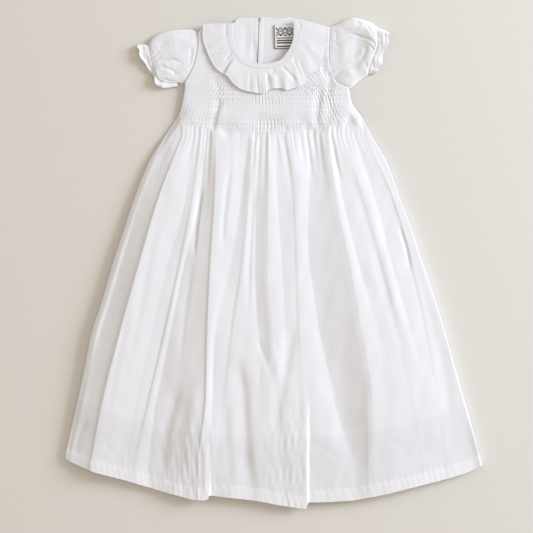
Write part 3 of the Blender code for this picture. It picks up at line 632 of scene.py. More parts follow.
# the gathers that the smocking lets go: place along the chest, depth, width, length down
GATHERS = [
    # x in the frame at 140, depth, half width, length in mm
    (165.5, 0.8, 1.6, 26), (169.0, 1.2, 1.8, 60), (172.5, 1.3, 2.2, 70), (176.0, 0.9, 1.5, 36), (179.5, 1.6, 2.2, 60),
    (183.5, 1.3, 1.6, 55), (188.0, 0.6, 1.8, 40), (192.2, 1.3, 1.6, 62), (197.6, 1.8, 2.2, 75), (202.4, 1.3, 1.6, 60),
    (206.0, 0.7, 1.3, 30), (209.6, 2.2, 1.7, 85), (217.0, 0.5, 1.5, 24), (221.5, 0.7, 1.6, 34), (226.0, 0.6, 1.5, 44),
    (230.0, 0.9, 1.8, 58), (234.5, 0.6, 1.4, 36), (239.0, 1.0, 1.7, 52), (243.5, 0.7, 1.4, 40), (247.5, 0.8, 1.5, 46),
    (254.0, 2.4, 2.0, 66), (258.6, 1.6, 1.5, 46), (265.5, 2.3, 2.0, 80), (271.0, 1.4, 1.6, 46), (277.5, 1.3, 1.8, 52),
    (282.5, 1.0, 1.3, 30), (285.8, 2.6, 2.9, 84), (291.5, 0.7, 1.2, 36), (295.0, 1.0, 1.2, 40), (302.0, 1.2, 1.8, 52),
    (308.2, 2.3, 1.6, 70), (314.5, 2.1, 2.2, 60), (320.0, 2.3, 2.0, 76), (326.0, 0.9, 1.5, 44), (332.2, 2.3, 1.6, 66),
    (337.5, 1.3, 1.7, 58), (341.5, 0.9, 1.4, 44), (346.0, 1.2, 1.8, 60), (350.6, 0.9, 1.5, 52), (355.0, 1.1, 1.9, 70),
    (360.0, 0.8, 1.6, 56), (364.0, 0.9, 1.5, 48), (368.5, 0.6, 1.4, 36),
]

# soft troughs and ridges, listed one by one. depth, reach to the left, reach to the right, and the
# line down the cloth in the reference frame; a negative depth is a ridge
SKIRT_CREASES = [
    ("slit", 2.3, 5.4, 1.6, [(203.5, 187), (201.5, 200), (198, 225), (196, 245), (194.5, 262)]),
    ("slit_tail", 0.9, 5.0, 3.4, [(195, 255), (189, 290), (184, 330), (179, 372)]),
    ("deep_fork", 2.6, 13.0, 6.0, [(180, 378), (175.5, 400), (170, 420), (165, 450), (162, 485)]),
    ("deep_swell", -1.6, 9.0, 9.0, [(196, 380), (192, 420), (188, 455), (186, 485)]),
    ("shallow_left", 1.5, 4.0, 2.6, [(231, 165), (226.5, 200), (224, 225), (223, 252)]),
    ("terrace", 1.2, 5.0, 3.0, [(253.5, 180), (253, 200), (250, 250), (248.5, 300), (246, 322)]),
    ("low_mid", 3.6, 13.0, 7.0, [(238, 352), (241, 375), (244, 400), (246.5, 450), (250.5, 480), (254, 512)]),
    ("low_mid_left", 0.9, 7.0, 5.0, [(227, 395), (226, 420), (229, 455), (231, 490)]),
    ("faint", 0.8, 3.0, 3.0, [(262, 360), (260, 373), (258, 388)]),
    ("pinch_left", 0.9, 3.4, 3.0, [(257, 338), (263, 352), (267, 362), (270, 372)]),
    ("pinch_right", 1.0, 3.6, 3.0, [(284, 346), (278, 358), (272, 366), (268, 378)]),
    ("pinch_swell", -0.9, 4.5, 4.5, [(271, 338), (271, 350), (270, 359)]),
    ("diagonal", 1.9, 9.0, 6.0, [(295, 318), (288, 358), (283, 385), (278, 412), (270, 446)]),
    ("below_centre", 0.7, 8.0, 6.0, [(272, 356), (276, 400), (281, 445), (284, 490)]),
    ("narrow_right", 1.0, 3.2, 2.4, [(333.5, 136), (335, 155), (338, 170), (343, 188)]),
    ("right_one", 0.9, 8.0, 6.0, [(345, 165), (360, 200), (375, 250), (388, 300), (394, 330)]),
    ("right_two", 0.7, 9.0, 5.0, [(372, 235), (384, 285), (402, 345), (412, 385)]),
    ("right_tip", 1.4, 3.0, 2.2, [(398.5, 225), (404, 242), (407.5, 256), (409.2, 274)]),
    ("right_edge", 0.9, 12.0, 8.0, [(418, 285), (434, 329), (440, 350), (447, 396), (452, 430), (455, 462)]),
    ("right_ghost", 0.6, 14.0, 10.0, [(352, 250), (372, 310), (383, 380), (392, 440)]),
    ("low_right", 0.4, 12.0, 8.0, [(322, 330), (326, 380), (322, 430), (318, 475)]),
    ("pale_ridge", -0.5, 3.4, 3.4, [(303, 372), (304, 400), (304, 440), (304.5, 505)]),
    ("fold_ridge", -1.2, 4.0, 2.6, [(206, 440), (206, 470), (206.5, 498)]),
    ("tuck_a", 0.6, 4.0, 3.6, [(103, 443), (109, 447), (117, 455), (126, 460)]),
    ("tuck_b", 0.5, 4.0, 3.6, [(124, 459), (137, 462), (152, 460)]),
    ("tuck_c", 0.6, 4.4, 3.8, [(305, 438), (315, 443), (326, 448), (340, 457), (352, 459)]),
    ("tuck_d", 0.4, 4.4, 4.0, [(386, 436), (396, 442), (410, 447)]),
    ("tuck_e", 0.5, 4.4, 4.0, [(226, 446), (236, 452), (247, 454)]),
    ("left_round", 0.8, 5.0, 5.0, [(133, 300), (121, 350), (111, 400), (106, 430)]),
    ("left_soft", 0.7, 7.0, 5.0, [(160, 215), (150, 262), (139, 320), (127, 380)]),
    ("left_hem", 0.9, 4.0, 3.0, [(74, 455), (82, 430), (90, 412)]),
]


def skirt_height(x, y, shares):
    """The upper side of the front skirt."""
    tall = through(y, column(CREST, 0), column(CREST, 1))
    depth = FALL * np.array([through(y, LEVELS, row[3]) for row in HOLLOWS])
    lap = np.array([through(y, LEVELS, row[2]) for row in HOLLOWS])
    lines = [side_x(y, "left")]
    for i in range(len(HOLLOWS)):
        lines += steep_side(y, i)
    lines.append(side_x(y, "right"))
    share = np.zeros_like(x)
    ridge = np.array([through(y, LEVELS, row[1]) for row in RIDGES])
    count = len(HOLLOWS)
    for k in range(2 * count + 1):
        m = STRETCH == k
        t = np.broadcast_to(SHARE[m][None, :], x[:, m].shape)
        i = k // 2
        here = ridge[i][:, m]
        if k == 2 * count:  # the last stretch ends at the side
            share[:, m] = here * (1.0 - 0.03 * t)
            continue
        beyond = ridge[i + 1][:, m]
        foot = beyond - FOOT[i] * depth[i][:, m]
        if k % 2:  # the last, steep part, up to the next ridge
            share[:, m] = foot + (beyond - foot) * ease(t)
            continue
        wide = np.maximum(lines[k + 1][:, m] - lines[k][:, m], 1.0)
        begin = np.clip(1 - lap[i][:, m] / wide, 0.12, 0.9)
        fall = np.minimum(depth[i][:, m], (SLOPE * begin * wide + 0.35) / np.maximum(tall[:, m], 1.0))
        bottom = np.minimum(here - fall, foot + 0.25 * depth[i][:, m])
        bottom = np.where(depth[i][:, m] < 0.02, here, bottom)
        in_shade = np.clip((t - begin) / (1 - begin), 0, 1)
        before = here - (here - bottom) * np.clip(t / begin, 0, 1) ** 1.6
        hollow = np.where(t < begin, before, bottom + (foot - bottom) * in_shade ** STEEPEN[i])
        # a hollow that has died out leaves an even slope
        alive = ease(depth[i][:, m] / 0.10)
        share[:, m] = hollow * alive + (here + (foot - here) * t) * (1 - alive)
    from_left, from_right = x - side_x(y, "left"), side_x(y, "right") - x
    round_left = np.sqrt(np.clip(1 - (1 - np.clip(from_left / 2.6, 0, 1)) ** 2, 0, 1))
    round_right = np.sqrt(np.clip(1 - (1 - np.clip(from_right / 1.0, 0, 1)) ** 2, 0, 1))
    ease_off = 0.96 + 0.04 * ease(from_right / 40.0)
    edge = np.minimum(from_left, from_right)
    low = 1.5 + 3.0 * np.minimum(ease(from_left / 10.0), ease((from_right + 14.0) / 150.0))
    past = ease((-(y - hem_y(x)) + 78.0) / 40.0)
    low = low - 1.3 * past * ease(edge / 10.0)
    z = low + tall * share * round_left * round_right * ease_off
    # gathers follow the columns
    near = int(np.argmin(np.abs(shares - 0.045)))
    soft = 0.29
    for number, (px, deep, wide, long) in enumerate(GATHERS):
        cx = (px - 273.5) * PITCH
        k = np.interp(cx, x[near], np.arange(x.shape[1]))
        line = np.array([np.interp(k, np.arange(x.shape[1]), row) for row in x])
        d = x - line[:, None]
        down = (chest_y(line) - np.array([np.interp(k, np.arange(y.shape[1]), row) for row in y]))[:, None]
        grow = 1.0 + 0.9 * np.clip(down / long, 0, 2)
        early = 9.0 + 5.0 * math.sin(number * 2.3) + 3.0 * math.sin(number * 0.9 + 1.0)
        fade = ease((down + early) / 12.0) * (1 - ease((down - 0.25 * long) / long))
        z -= soft * deep * fade * (bell(d / (wide * grow)) - 0.30 * bell((d - 2.4 * wide * grow) / (1.7 * wide * grow)))
    for _, deep, left, right, path in SKIRT_CREASES:
        crease(z, x, y, at(path), 0.55 * deep, left, right)
    # folds that lap over their right neighbour near the hem
    for cx, top, step in ((-86.8, -262.0, 1.7), (45.2, -170.0, 1.7)):
        d = x - cx
        fade = ease((top - y) / 60.0)
        z -= step * fade * ease(d / 2.8) * bell(np.clip(d, 0, None) / 26.0)
    z += 0.30 * rumple(x, y, 60.0, 3, 2.2) * ease((edge - 2) / 14.0)
    z += 0.16 * rumple(x, y, 22.0, 5, 2.8) * ease((edge - 2) / 14.0)
    # crinkles in the hem part
    low_part = ease((-y - 170.0) / 70.0)
    z += 0.34 * rumple(x, y, 8.0, 11, 5.0) * low_part * bell((x + 122.0) / 34.0)
    z += 0.20 * rumple(x, y, 5.0, 13, 3.0) * low_part * bell((x + 118.0) / 30.0)
    z += 0.26 * rumple(x, y, 8.0, 12, 5.0) * low_part * bell((x - 18.0) / 34.0)
    return np.maximum(z, low * 0.0 + 1.4 + 2.6 * ease(edge / 8.0) - 1.2 * past * ease(edge / 8.0))


def lining_hem_y(x):
    return -184.0 - 52.0 * np.clip(1 - ((x - 8.0) / 262.0) ** 2, 0, 1) ** 0.8


def sampler(x, y, z):
    """Height of a grid surface at a place, from its nearest points."""
    px, py, pz = x.ravel(), y.ravel(), z.ravel()
    cell = 4.0
    table = {}
    for k in range(0, len(px)):
        table.setdefault((int(px[k] // cell), int(py[k] // cell)), []).append(k)

    def height(a, b):
        i, j = int(a // cell), int(b // cell)
        ids = [k for di in (-1, 0, 1) for dj in (-1, 0, 1) for k in table.get((i + di, j + dj), ())]
        if not ids:
            return float(np.median(pz))
        ids = np.array(ids)
        d = np.square(px[ids] - a) + np.square(py[ids] - b)
        best = np.argsort(d)[:4]
        w = 1.0 / (d[best] + 0.02)
        return float((pz[ids[best]] * w).sum() / w.sum())

    return height


# --------------------------------------------------------------------- smocked bodice
def bowed(a, b, bow, t, side):
    t = np.asarray(t, float)
    dx, dy = b[0] - a[0], b[1] - a[1]
    long = math.hypot(dx, dy)
    nx, ny = (dy / long, -dx / long) if side == "left" else (-dy / long, dx / long)
    push = bow * 4.0 * t * (1.0 - t)
    return a[0] + dx * t + nx * push, a[1] + dy * t + ny * push


def armhole_x(y, side):
    if side == "right":
        return through(y, column(ARMHOLE_RIGHT, 0), column(ARMHOLE_RIGHT, 1))
    (x0, y0), (x1, y1), bow = ARMHOLES[side]
    t = np.linspace(0, 1, 60)
    x, line = bowed((x0, y0), (x1, y1), -bow, t, side)
    return np.interp(y, line[::-1], x[::-1])


def neck_path(out, count):
    """Points round the front of the neck from the left shoulder to the right one."""
    table = [row for row in NECK_IN if row[0] <= 322]
    ys = column(table, 0)
    xl = [NECK_X + v for v in column(table, 1)]
    xr = [NECK_X + v for v in column(table, 2)]
    pts = [(xl[0] - 0.5, 321.5)] + list(zip(xl[1:], ys[1:]))
    pts += [(NECK_X - 1.0, 267.0)]
    pts += list(zip(xr[::-1][:-1], ys[::-1][:-1])) + [(xr[0] + 0.2, 318.0), (xr[0] - 0.8, 326.0)]
    pts = np.array(pts)
    run = np.concatenate([[0], np.cumsum(np.hypot(*np.diff(pts, axis=0).T))])
    s = np.linspace(0, run[-1], count)
    x, y = through(s, run, pts[:, 0]), through(s, run, pts[:, 1])
    dx, dy = np.gradient(x), np.gradient(y)
    norm = np.hypot(dx, dy)
    return x + dy / norm * out, y - dx / norm * out


PLEATS = 50  # smocked pleats from side to side
# where the pleats stand out: middle and reach in the reference frame, and their height
TEXTURE = [
    ("left_lattice", 224, 95, 12, 11, 1.5),
    ("left_low", 232, 124, 16, 7, 0.5),
    ("left_plain", 196, 110, 12, 22, 0.35),
    ("middle_lattice", 268, 98, 20, 6, 0.9),
    ("middle_low", 270, 127, 20, 8, 1.1),
    ("right_streaks", 314, 88, 11, 12, 1.3),
    ("right_band", 326, 100, 12, 12, 0.9),
    ("right_stripes", 332, 117, 16, 11, 1.0),
    ("right_top", 320, 72, 7, 10, 0.6),
]
SMOCK_CREASES = [
    ("left_groove", 1.5, 6.0, 3.0, [(222, 96), (219, 105), (216, 117), (213.5, 128), (212.0, 146)]),
    ("left_groove_top", 0.5, 4.0, 4.0, [(214, 76), (217, 86), (220, 97)]),
    ("right_groove", 1.5, 7.0, 4.0, [(323, 84), (319, 100), (317.0, 118), (317.5, 138)]),
    ("arm_groove", 1.3, 4.5, 5.0, [(329, 68), (330, 80), (328.5, 90), (325, 101)]),
    ("arm_groove_low", 0.5, 5.0, 5.0, [(327, 96), (330, 108), (334, 120)]),
    ("middle_hollow", 0.8, 16.0, 19.0, [(264, 100), (266, 117), (266, 134)]),
    ("middle_groove", 0.12, 4.0, 4.0, [(258, 104), (259, 120), (258, 134)]),
    ("block", 0.9, 3.6, 2.6, [(286, 124), (286, 134), (285.8, 150)]),
    ("left_band", 0.5, 4.0, 4.0, [(190, 46), (190.5, 58), (189, 70)]),
    ("arm_fold", 0.8, 3.2, 2.4, [(333, 78), (338, 81), (344, 87)]),
    ("arm_trough", 1.0, 4.5, 8.0, [(322.5, 56), (323.5, 66), (324.5, 74), (328, 82)]),
]
# rows of white stitching: height at the left, middle and right, kind
STITCH_ROWS = [
    ("cross", 88, 99.0, 88),
    ("cross", 95, 103.0, 94),
    ("cable", 106.2, 107.5, 106.2),
    ("cable", 113.2, 114.5, 113.2),
    ("cable", 117.0, 118.3, 117.0),
    ("cross", 122, 127.0, 120),
]


def bodice_grid(chest_share):
    """Rows from the shoulders down to the chest, on the skirt's columns."""
    count = len(chest_share)
    cut_x, cut_y = neck_path(BINDING_WIDE - 1.0, 161)
    lowest = int(np.argmin(cut_y))
    order = np.argsort(cut_x)

    def cut_at(level, side):
        xs, ys = (cut_x[: lowest + 1], cut_y[: lowest + 1]) if side == "left" else (cut_x[lowest:], cut_y[lowest:])
        turned = np.argsort(ys)
        return float(np.interp(level, ys[turned], xs[turned]))

    def end_x(y0, side):
        top, low = ARMHOLES[side][0][1], ARMHOLES[side][1][1]
        sign = 1 if side == "left" else -1
        if y0 > top:
            return ARMHOLES[side][0][0] + sign * (2 * SEAM_GAP + 0.7 * (y0 - top))
        if y0 >= low:
            return float(armhole_x(y0, side))
        return float(side_x(y0, side))

    turn = 263.0  # below this the rows are whole
    upper = np.linspace(325.0, turn, 40, endpoint=False)
    lower = np.linspace(turn, CHEST_Y, 60, endpoint=False)
    left_n, right_n = int(count * 0.37), int(count * 0.63)
    u = np.arange(count)
    xs, ys = [], []
    for level in list(upper) + list(lower):
        row = np.full(count, level)
        row[:left_n] = np.minimum(level, 321.0)
        cut = (cut_at(max(level, turn), "left"), cut_at(max(level, turn), "right"))
        blend = float(ease((turn - level) / 50.0))
        share = (level - CHEST_Y) / (turn - CHEST_Y)
        if level > turn:
            row[right_n:] = np.linspace(level, min(level, 317.0), count - right_n)
        y = row.copy()
        for _ in range(3):
            ends = end_x(y[0], "left"), end_x(y[-1], "right")
            x = np.interp(u, [0, left_n, right_n, count - 1], [ends[0], cut[0], cut[1], ends[1]])
            x = x * (1 - blend) + (ends[0] + (ends[1] - ends[0]) * chest_share) * blend
            y = row.copy()
            if level <= turn:
                floor_y = np.interp(x, cut_x[order], cut_y[order])
                floor_y = np.where((x > cut[0]) & (x < cut[1]), np.minimum(floor_y, turn), turn)
                y = CHEST_Y + (floor_y - CHEST_Y) * share + (chest_y(x) - CHEST_Y) * (1 - share) ** 1.5
        xs.append(x)
        ys.append(y)
    keep = np.ones((len(xs), count - 1), bool)
    keep[: len(upper), left_n:right_n] = False
    return np.array(xs), np.array(ys), keep


def smocked_share(x, y):
    """How deep the small cells of the smocking are at a place, 0 to about 1.5."""
    fx, fy = x / PITCH + 273.5, 262.5 - y / PITCH
    share = 0.42 * ease((fy - 74.0) / 14.0) * (0.35 + 0.65 * ease((fx - 204.0) / 12.0))
    for _, cx, cy, rx, ry, more in TEXTURE:
        share = share + 0.55 * more * bell((fx - cx) / rx) * bell((fy - cy) / ry)
    share = share * (1 - 0.45 * bell((fy - 111.5) / 5.5) * bell((fx - 250.0) / 45.0))
    return share * (1 - ease((fy - 130.0) / 9.0)) * (0.25 + 0.75 * ease((348.0 - fx) / 10.0))


def pleat_height(x, y, u):
    """Height of the smocked pleats: fine tubes drawn together by turns into small cells."""
    fx, fy = x / PITCH + 273.5, 262.5 - y / PITCH
    gain = 0.30 * np.ones_like(x)
    for _, cx, cy, rx, ry, more in TEXTURE:
        gain = gain + more * bell((fx - cx) / rx) * bell((fy - cy) / ry)
    gain = gain * np.clip(ease((fx - 206.0) / 14.0) + ease((fy - 84.0) / 30.0), 0.12, 1.0)
    gain = gain * (0.45 + 0.55 * ease((350.0 - fx) / 14.0))
    n = u * PLEATS
    bands = bell((fy - 111.5) / 6.5)  # the straight rows of stitching
    sway = 0.16 * np.sin(2 * math.pi * y / 13.0) * np.cos(math.pi * n) * (1 - 0.8 * bands)
    tubes = np.cos(2 * math.pi * (n + sway + 0.07 * np.sin(x / 9.0) + 0.12 * np.sin(x / 23.0 + 1.0)))
    cells = np.cos(math.pi * (n + y / 6.5)) * np.cos(math.pi * (n - y / 6.5))
    odd = 1.0 + 0.30 * np.sin(n * 1.7 + 2.0) + 0.25 * np.sin(n * 0.61 + y / 17.0) + 0.2 * rumple(x, y, 16.0, 77)
    broken = 0.55 + 0.45 * rumple(x, y, 7.0, 79, 1.6)
    z = gain * odd * (0.10 * tubes * broken * (1 - 0.35 * bands) + 0.17 * cells * (1 - 0.7 * bands))
    for row, deep in ((106.2, 0.10), (109.4, 0.08), (113.2, 0.10), (117.0, 0.10), (104.0, 0.06)):
        bow = row + 1.3 * bell((fx - 265.0) / 60.0)
        z -= deep * bell((fy - bow) / 0.75) * (0.6 + 0.4 * np.sin(fx / 5.0)) * ease((fx - 218.0) / 8.0) * ease((345.0 - fx) / 20.0)
    return z


def bodice_height(x, y, u):
    from_left = x - np.where(y < 240.5, side_x(y, "left"), armhole_x(y, "left"))
    from_right = np.where(y < 234.5, side_x(y, "right"), armhole_x(y, "right")) - x
    edge = np.minimum(from_left, from_right)
    by_sleeve = ease((y - 232.0) / 12.0)
    low = 4.4 + 0.9 * np.sqrt(np.clip(1 - (1 - np.clip(edge / 6.0, 0, 1)) ** 2, 0, 1)) * (1 - by_sleeve)
    low = low + by_sleeve * (1.25 - 0.55 * ease(edge / 22.0) + 0.35 * np.sqrt(np.clip(edge / 1.2, 0, 1)))
    swell = ease((226.0 - y) / 30.0)
    z = low + 1.2 * swell * ease(edge / 12.0)
    z = z + 0.5 * rumple(x, y, 38.0, 21) * swell
    z = z + pleat_height(x, y, u) * ease(edge / 5.0)
    for _, deep, left, right, path in SMOCK_CREASES:
        crease(z, x, y, at(path), deep, left, right)
    # meets the skirt's first row at the chest
    z = np.maximum(z, 2.4)
    under = ease((y - 236.0) / 10.0)
    return z * (1 - under) + np.minimum(z, 6.3) * under


def front_surface():
    """The whole front as one surface; the skirt and the smocked part are cut from it."""
    sx, sy, shares = skirt_grid(120)
    along = (sx[0] - sx[0][0]) / (sx[0][-1] - sx[0][0])
    bx, by, keep = bodice_grid(along)
    x, y = np.concatenate([bx, sx]), np.concatenate([by, sy])
    first = len(bx)
    v = np.concatenate([np.full(first, -1.0), shares])
    folds = skirt_height(x, y, v)
    u = np.broadcast_to(np.linspace(0, 1, x.shape[1])[None, :], x.shape)
    side = np.broadcast_to(along[None, :], x.shape)
    smocked = bodice_height(x, y, side)
    below = chest_y(x) - y
    uneven = 3.2 * np.sin(x / 7.5 + 1.0) + 2.6 * np.sin(x / 3.1) + 3.0 * np.sin(x / 21.0 + 0.5)
    share = ease((below + 11.0 + uneven) / 16.0)
    z = smocked * (1 - share) + folds * share
    return x, y, z, u, keep, first


def build_front():
    x, y, z, u, keep, first = front_surface()
    edge = np.minimum(x - x[:, :1], x[:, -1:] - x)
    up = y - hem_y(x)
    # the turned-up hem is a double cloth, a little proud, dimpled where it is stitched
    z = z + (0.25 * (1 - ease((up - 16.2) / 1.4)) - 0.18 * bell((up - 15.6) / 0.9)) * ease(edge / 4.0)
    ticks = np.sin(x * 2 * math.pi / 9.0 + 5.0 * np.sin(x / 31.0) + up * 0.25)
    z += 0.10 * ticks * (1 - ease((up - 17.0) / 6.0)) * ease(up / 5.0)
    across = np.cumsum(np.hypot(np.diff(x, axis=1, prepend=x[:, :1]), np.diff(z, axis=1, prepend=z[:, :1])), axis=1)
    run = across / across[:, -1:] * 700.0
    low = slice(first - 1, None)
    # distances the skirt's cotton uses to paint show-through shade below the underskirt and a whiter doubled hem
    extra = {"from_hem": up[low], "past_lining": (lining_hem_y(x) - y)[low]}
    skirt = cloth_piece("skirt_front", x[low], y[low], z[low], SKIRT_CLOTH, cloth=(run[low], y[low]), extra=extra)
    top = slice(0, first + 2)
    under = z[top].copy()
    under[-1] -= 0.25
    under[-2] -= 0.12
    whole = np.concatenate([keep, np.ones((1, keep.shape[1]), bool)])
    smock = cloth_piece("smocked_front", x[top], y[top], under, SMOCK_CLOTH, cloth=(run[top], y[top]), keep=whole, extra={"smocked": smocked_share(x[top], y[top])})
    return skirt, smock, (x[low], y[low], z[low]), (x[top], y[top], z[top])


def build_stitches(bodice):
    x, y, z = bodice
    height = sampler(x[40:], y[40:], z[40:])
    starts, ends, girth = [], [], []
    for kind, left, middle, right in STITCH_ROWS:
        for n in range(PLEATS - 1):
            share = (n + 0.5) / PLEATS
            row = np.interp(share, [0, 0.5, 1], [left, middle, right])
            ly = (262.5 - row) * PITCH
            a = float(np.where(ly < 240.5, side_x(ly, "left"), armhole_x(ly, "left")))
            b = float(np.where(ly < 234.5, side_x(ly, "right"), armhole_x(ly, "right")))
            x0, x1 = a + (b - a) * share, a + (b - a) * (n + 1.5) / PLEATS
            fx = x0 / PITCH + 273.5
            if fx < 206 and row < 100:
                continue
            if fx > 345 or fx < 184:
                continue
            r = 0.2
            if kind == "cable":
                y0, y1 = ly + (0.35 if n % 2 else -0.35), ly + (-0.35 if n % 2 else 0.35)
            else:
                y0, y1 = (ly - 1.1, ly + 1.1) if n % 2 else (ly + 1.1, ly - 1.1)
                x0, x1 = x0 + 1.0, x1 - 1.0
            h0, h1 = height(x0, y0), height(x1, y1)
            top = max(h0, h1, height((x0 + x1) / 2, (y0 + y1) / 2))
            starts.append((x0, y0, max(h0, top - 0.3) + 0.04))
            ends.append((x1, y1, max(h1, top - 0.3) + 0.04))
            girth.append(r)
    return capsules("smocking_stitches", starts, ends, girth, THREAD, arch=0.1)


# ------------------------------------------------------------------------------ sleeves
# Sections from the armhole to the frill's edge. Each is eight places in the reference frame
# from the sleeve's top edge to its underarm edge, with their height.
SLEEVES = {
    "left": [
        ("tuck", [(199.9, 33.4, 4.0), (199.9, 41, 4.8), (198.9, 49, 4.8), (197.6, 56.5, 4.8), (195.6, 64, 4.8), (192.9, 71, 4.8), (189.8, 78, 4.5), (185.6, 84.0, 3.6)]),
        ("edge", [(198.3, 32.9, 4.0), (198.3, 41, 5.05), (197.5, 49, 5.05), (196.3, 56.5, 5.05), (194.2, 64, 5.05), (191.5, 71, 5.0), (188.1, 78, 4.7), (184.2, 84.4, 3.6)]),
        ("armhole", [(196.9, 32.0, 3.6), (197.0, 40.8, 5.6), (196.2, 49, 5.7), (195.0, 56.5, 5.7), (192.9, 64, 5.7), (190.2, 71, 5.5), (186.9, 78, 5.1), (183.9, 84.3, 3.4)]),
        ("shoulder", [(190, 29.8, 5), (190.5, 37.5, 6.1), (190, 45.5, 6.3), (189.2, 53.5, 6.4), (188, 61.5, 6.3), (186.7, 69.5, 6.2), (185, 77.5, 5.8), (183, 84.2, 3.8)]),
        ("puff", [(176, 30.2, 5), (175, 37.5, 6.9), (174.5, 45.5, 7.1), (174, 53, 7.2), (174, 60.5, 7.0), (175.5, 68.5, 6.8), (178.5, 76.5, 6.3), (181.5, 84, 4)]),
        ("fullest", [(160, 33.6, 5), (160, 40.5, 6.6), (161.5, 47.5, 6.8), (163, 54.5, 6.9), (164.5, 61.5, 6.6), (166.5, 69, 7.2), (171, 77, 6.8), (180.5, 83.5, 4)]),
        ("gather", [(152, 38.5, 4.5), (152.8, 44.5, 6.6), (154.5, 51, 6.8), (156, 57.5, 6.8), (157.3, 64, 6.2), (157.0, 72, 7.2), (160, 79.3, 6.8), (178, 83.5, 4)]),
        ("elastic", [(148.2, 45.2, 4), (149.3, 49.5, 5.8), (150.3, 54.8, 6.0), (151.5, 60.5, 5.8), (153.0, 66.5, 5.0), (155.8, 74.5, 6.2), (160.5, 82.0, 5.2), (177.5, 84.3, 3.6)]),
        ("frill", [(143.3, 44.6, 5), (143.8, 48.9, 5.8), (145, 55.5, 5.8), (148, 62.5, 5.2), (152.3, 70.2, 4.2), (155.2, 79, 6.0), (161, 86, 6.0), (178, 85.8, 4)]),
        ("frill_edge", [(137.6, 44.6, 6), (138.8, 50, 7.4), (141.5, 58, 7.0), (146, 65.5, 5.8), (151.6, 72.9, 4.0), (155.5, 82, 6.6), (163, 88.6, 5.4), (180, 85.8, 3.2)]),
    ],
    "right": [
        ("tuck", [(327.8, 28, 4.0), (327.2, 37, 4.8), (326.8, 46, 4.8), (326.8, 55, 4.8), (327.3, 64, 4.8), (329.0, 73, 4.7), (335.4, 82.5, 4.4), (348.6, 88.4, 3.6)]),
        ("edge", [(329.4, 27.5, 4.0), (328.9, 37, 5.0), (328.5, 46, 5.05), (328.4, 55, 5.05), (328.9, 64, 5.0), (330.6, 73, 4.9), (336.9, 83, 4.6), (350.1, 88.8, 3.6)]),
        ("armhole", [(330.8, 26.9, 3.6), (330.2, 36.5, 5.4), (329.8, 46, 5.7), (329.7, 55, 5.7), (330.2, 64, 5.3), (331.9, 72.5, 5.0), (338.2, 82.4, 5.2), (351, 88.2, 3.4)]),
        ("shoulder", [(337, 24.5, 4.5), (336.5, 33, 6.3), (335.5, 42, 6.3), (335, 51, 6.1), (335, 60, 5.8), (336.5, 69, 5.8), (343, 79, 6.8), (352.5, 87, 3.5)]),
        ("puff", [(346, 20, 5), (346, 28.5, 7.5), (346, 37, 7.5), (345.5, 46, 7.3), (345, 55, 6.7), (346, 63, 6.2), (350.5, 74, 7.6), (356, 83.8, 4)]),
        ("centre", [(354, 18, 5), (354.5, 26, 8.4), (356, 34, 7.8), (356, 43, 6.5), (355, 52, 6.0), (354, 60, 6.4), (356.5, 71, 7.4), (360, 80.5, 4)]),
        ("arc", [(361, 19.5, 5.5), (362, 27.5, 9.4), (364, 36, 9.0), (366, 44, 8.2), (364.5, 51, 7.9), (362, 58, 7.8), (362, 68.5, 8.0), (363.5, 78, 4)]),
        ("gather", [(370.5, 22.5, 6), (370, 30, 9.8), (371, 37, 10.0), (372, 44, 9.6), (371, 51, 9.0), (368.5, 58.5, 8.8), (366.5, 68.5, 8.4), (366, 76.5, 4)]),
        ("elastic", [(377, 27.5, 5), (376.5, 33.5, 9.4), (376.7, 40, 9.7), (377, 46, 9.4), (375, 52.5, 8.8), (371.5, 60, 8.6), (369, 68, 8.0), (367.5, 75, 3.8)]),
        ("frill", [(382.5, 29.8, 5.5), (382.5, 35, 10.2), (382.5, 40.5, 10.2), (381, 46.5, 9.8), (379.5, 54, 8.8), (377, 62, 8.4), (373, 69, 7.6), (370, 74.5, 4)]),
        ("frill_edge", [(386.5, 31, 5.5), (388.6, 35.5, 9.8), (388.6, 41.5, 9.8), (385.5, 47.5, 9.6), (383.8, 54, 8.2), (382, 63, 7.6), (378.5, 70, 6.8), (375, 74.3, 3.8)]),
    ],
}
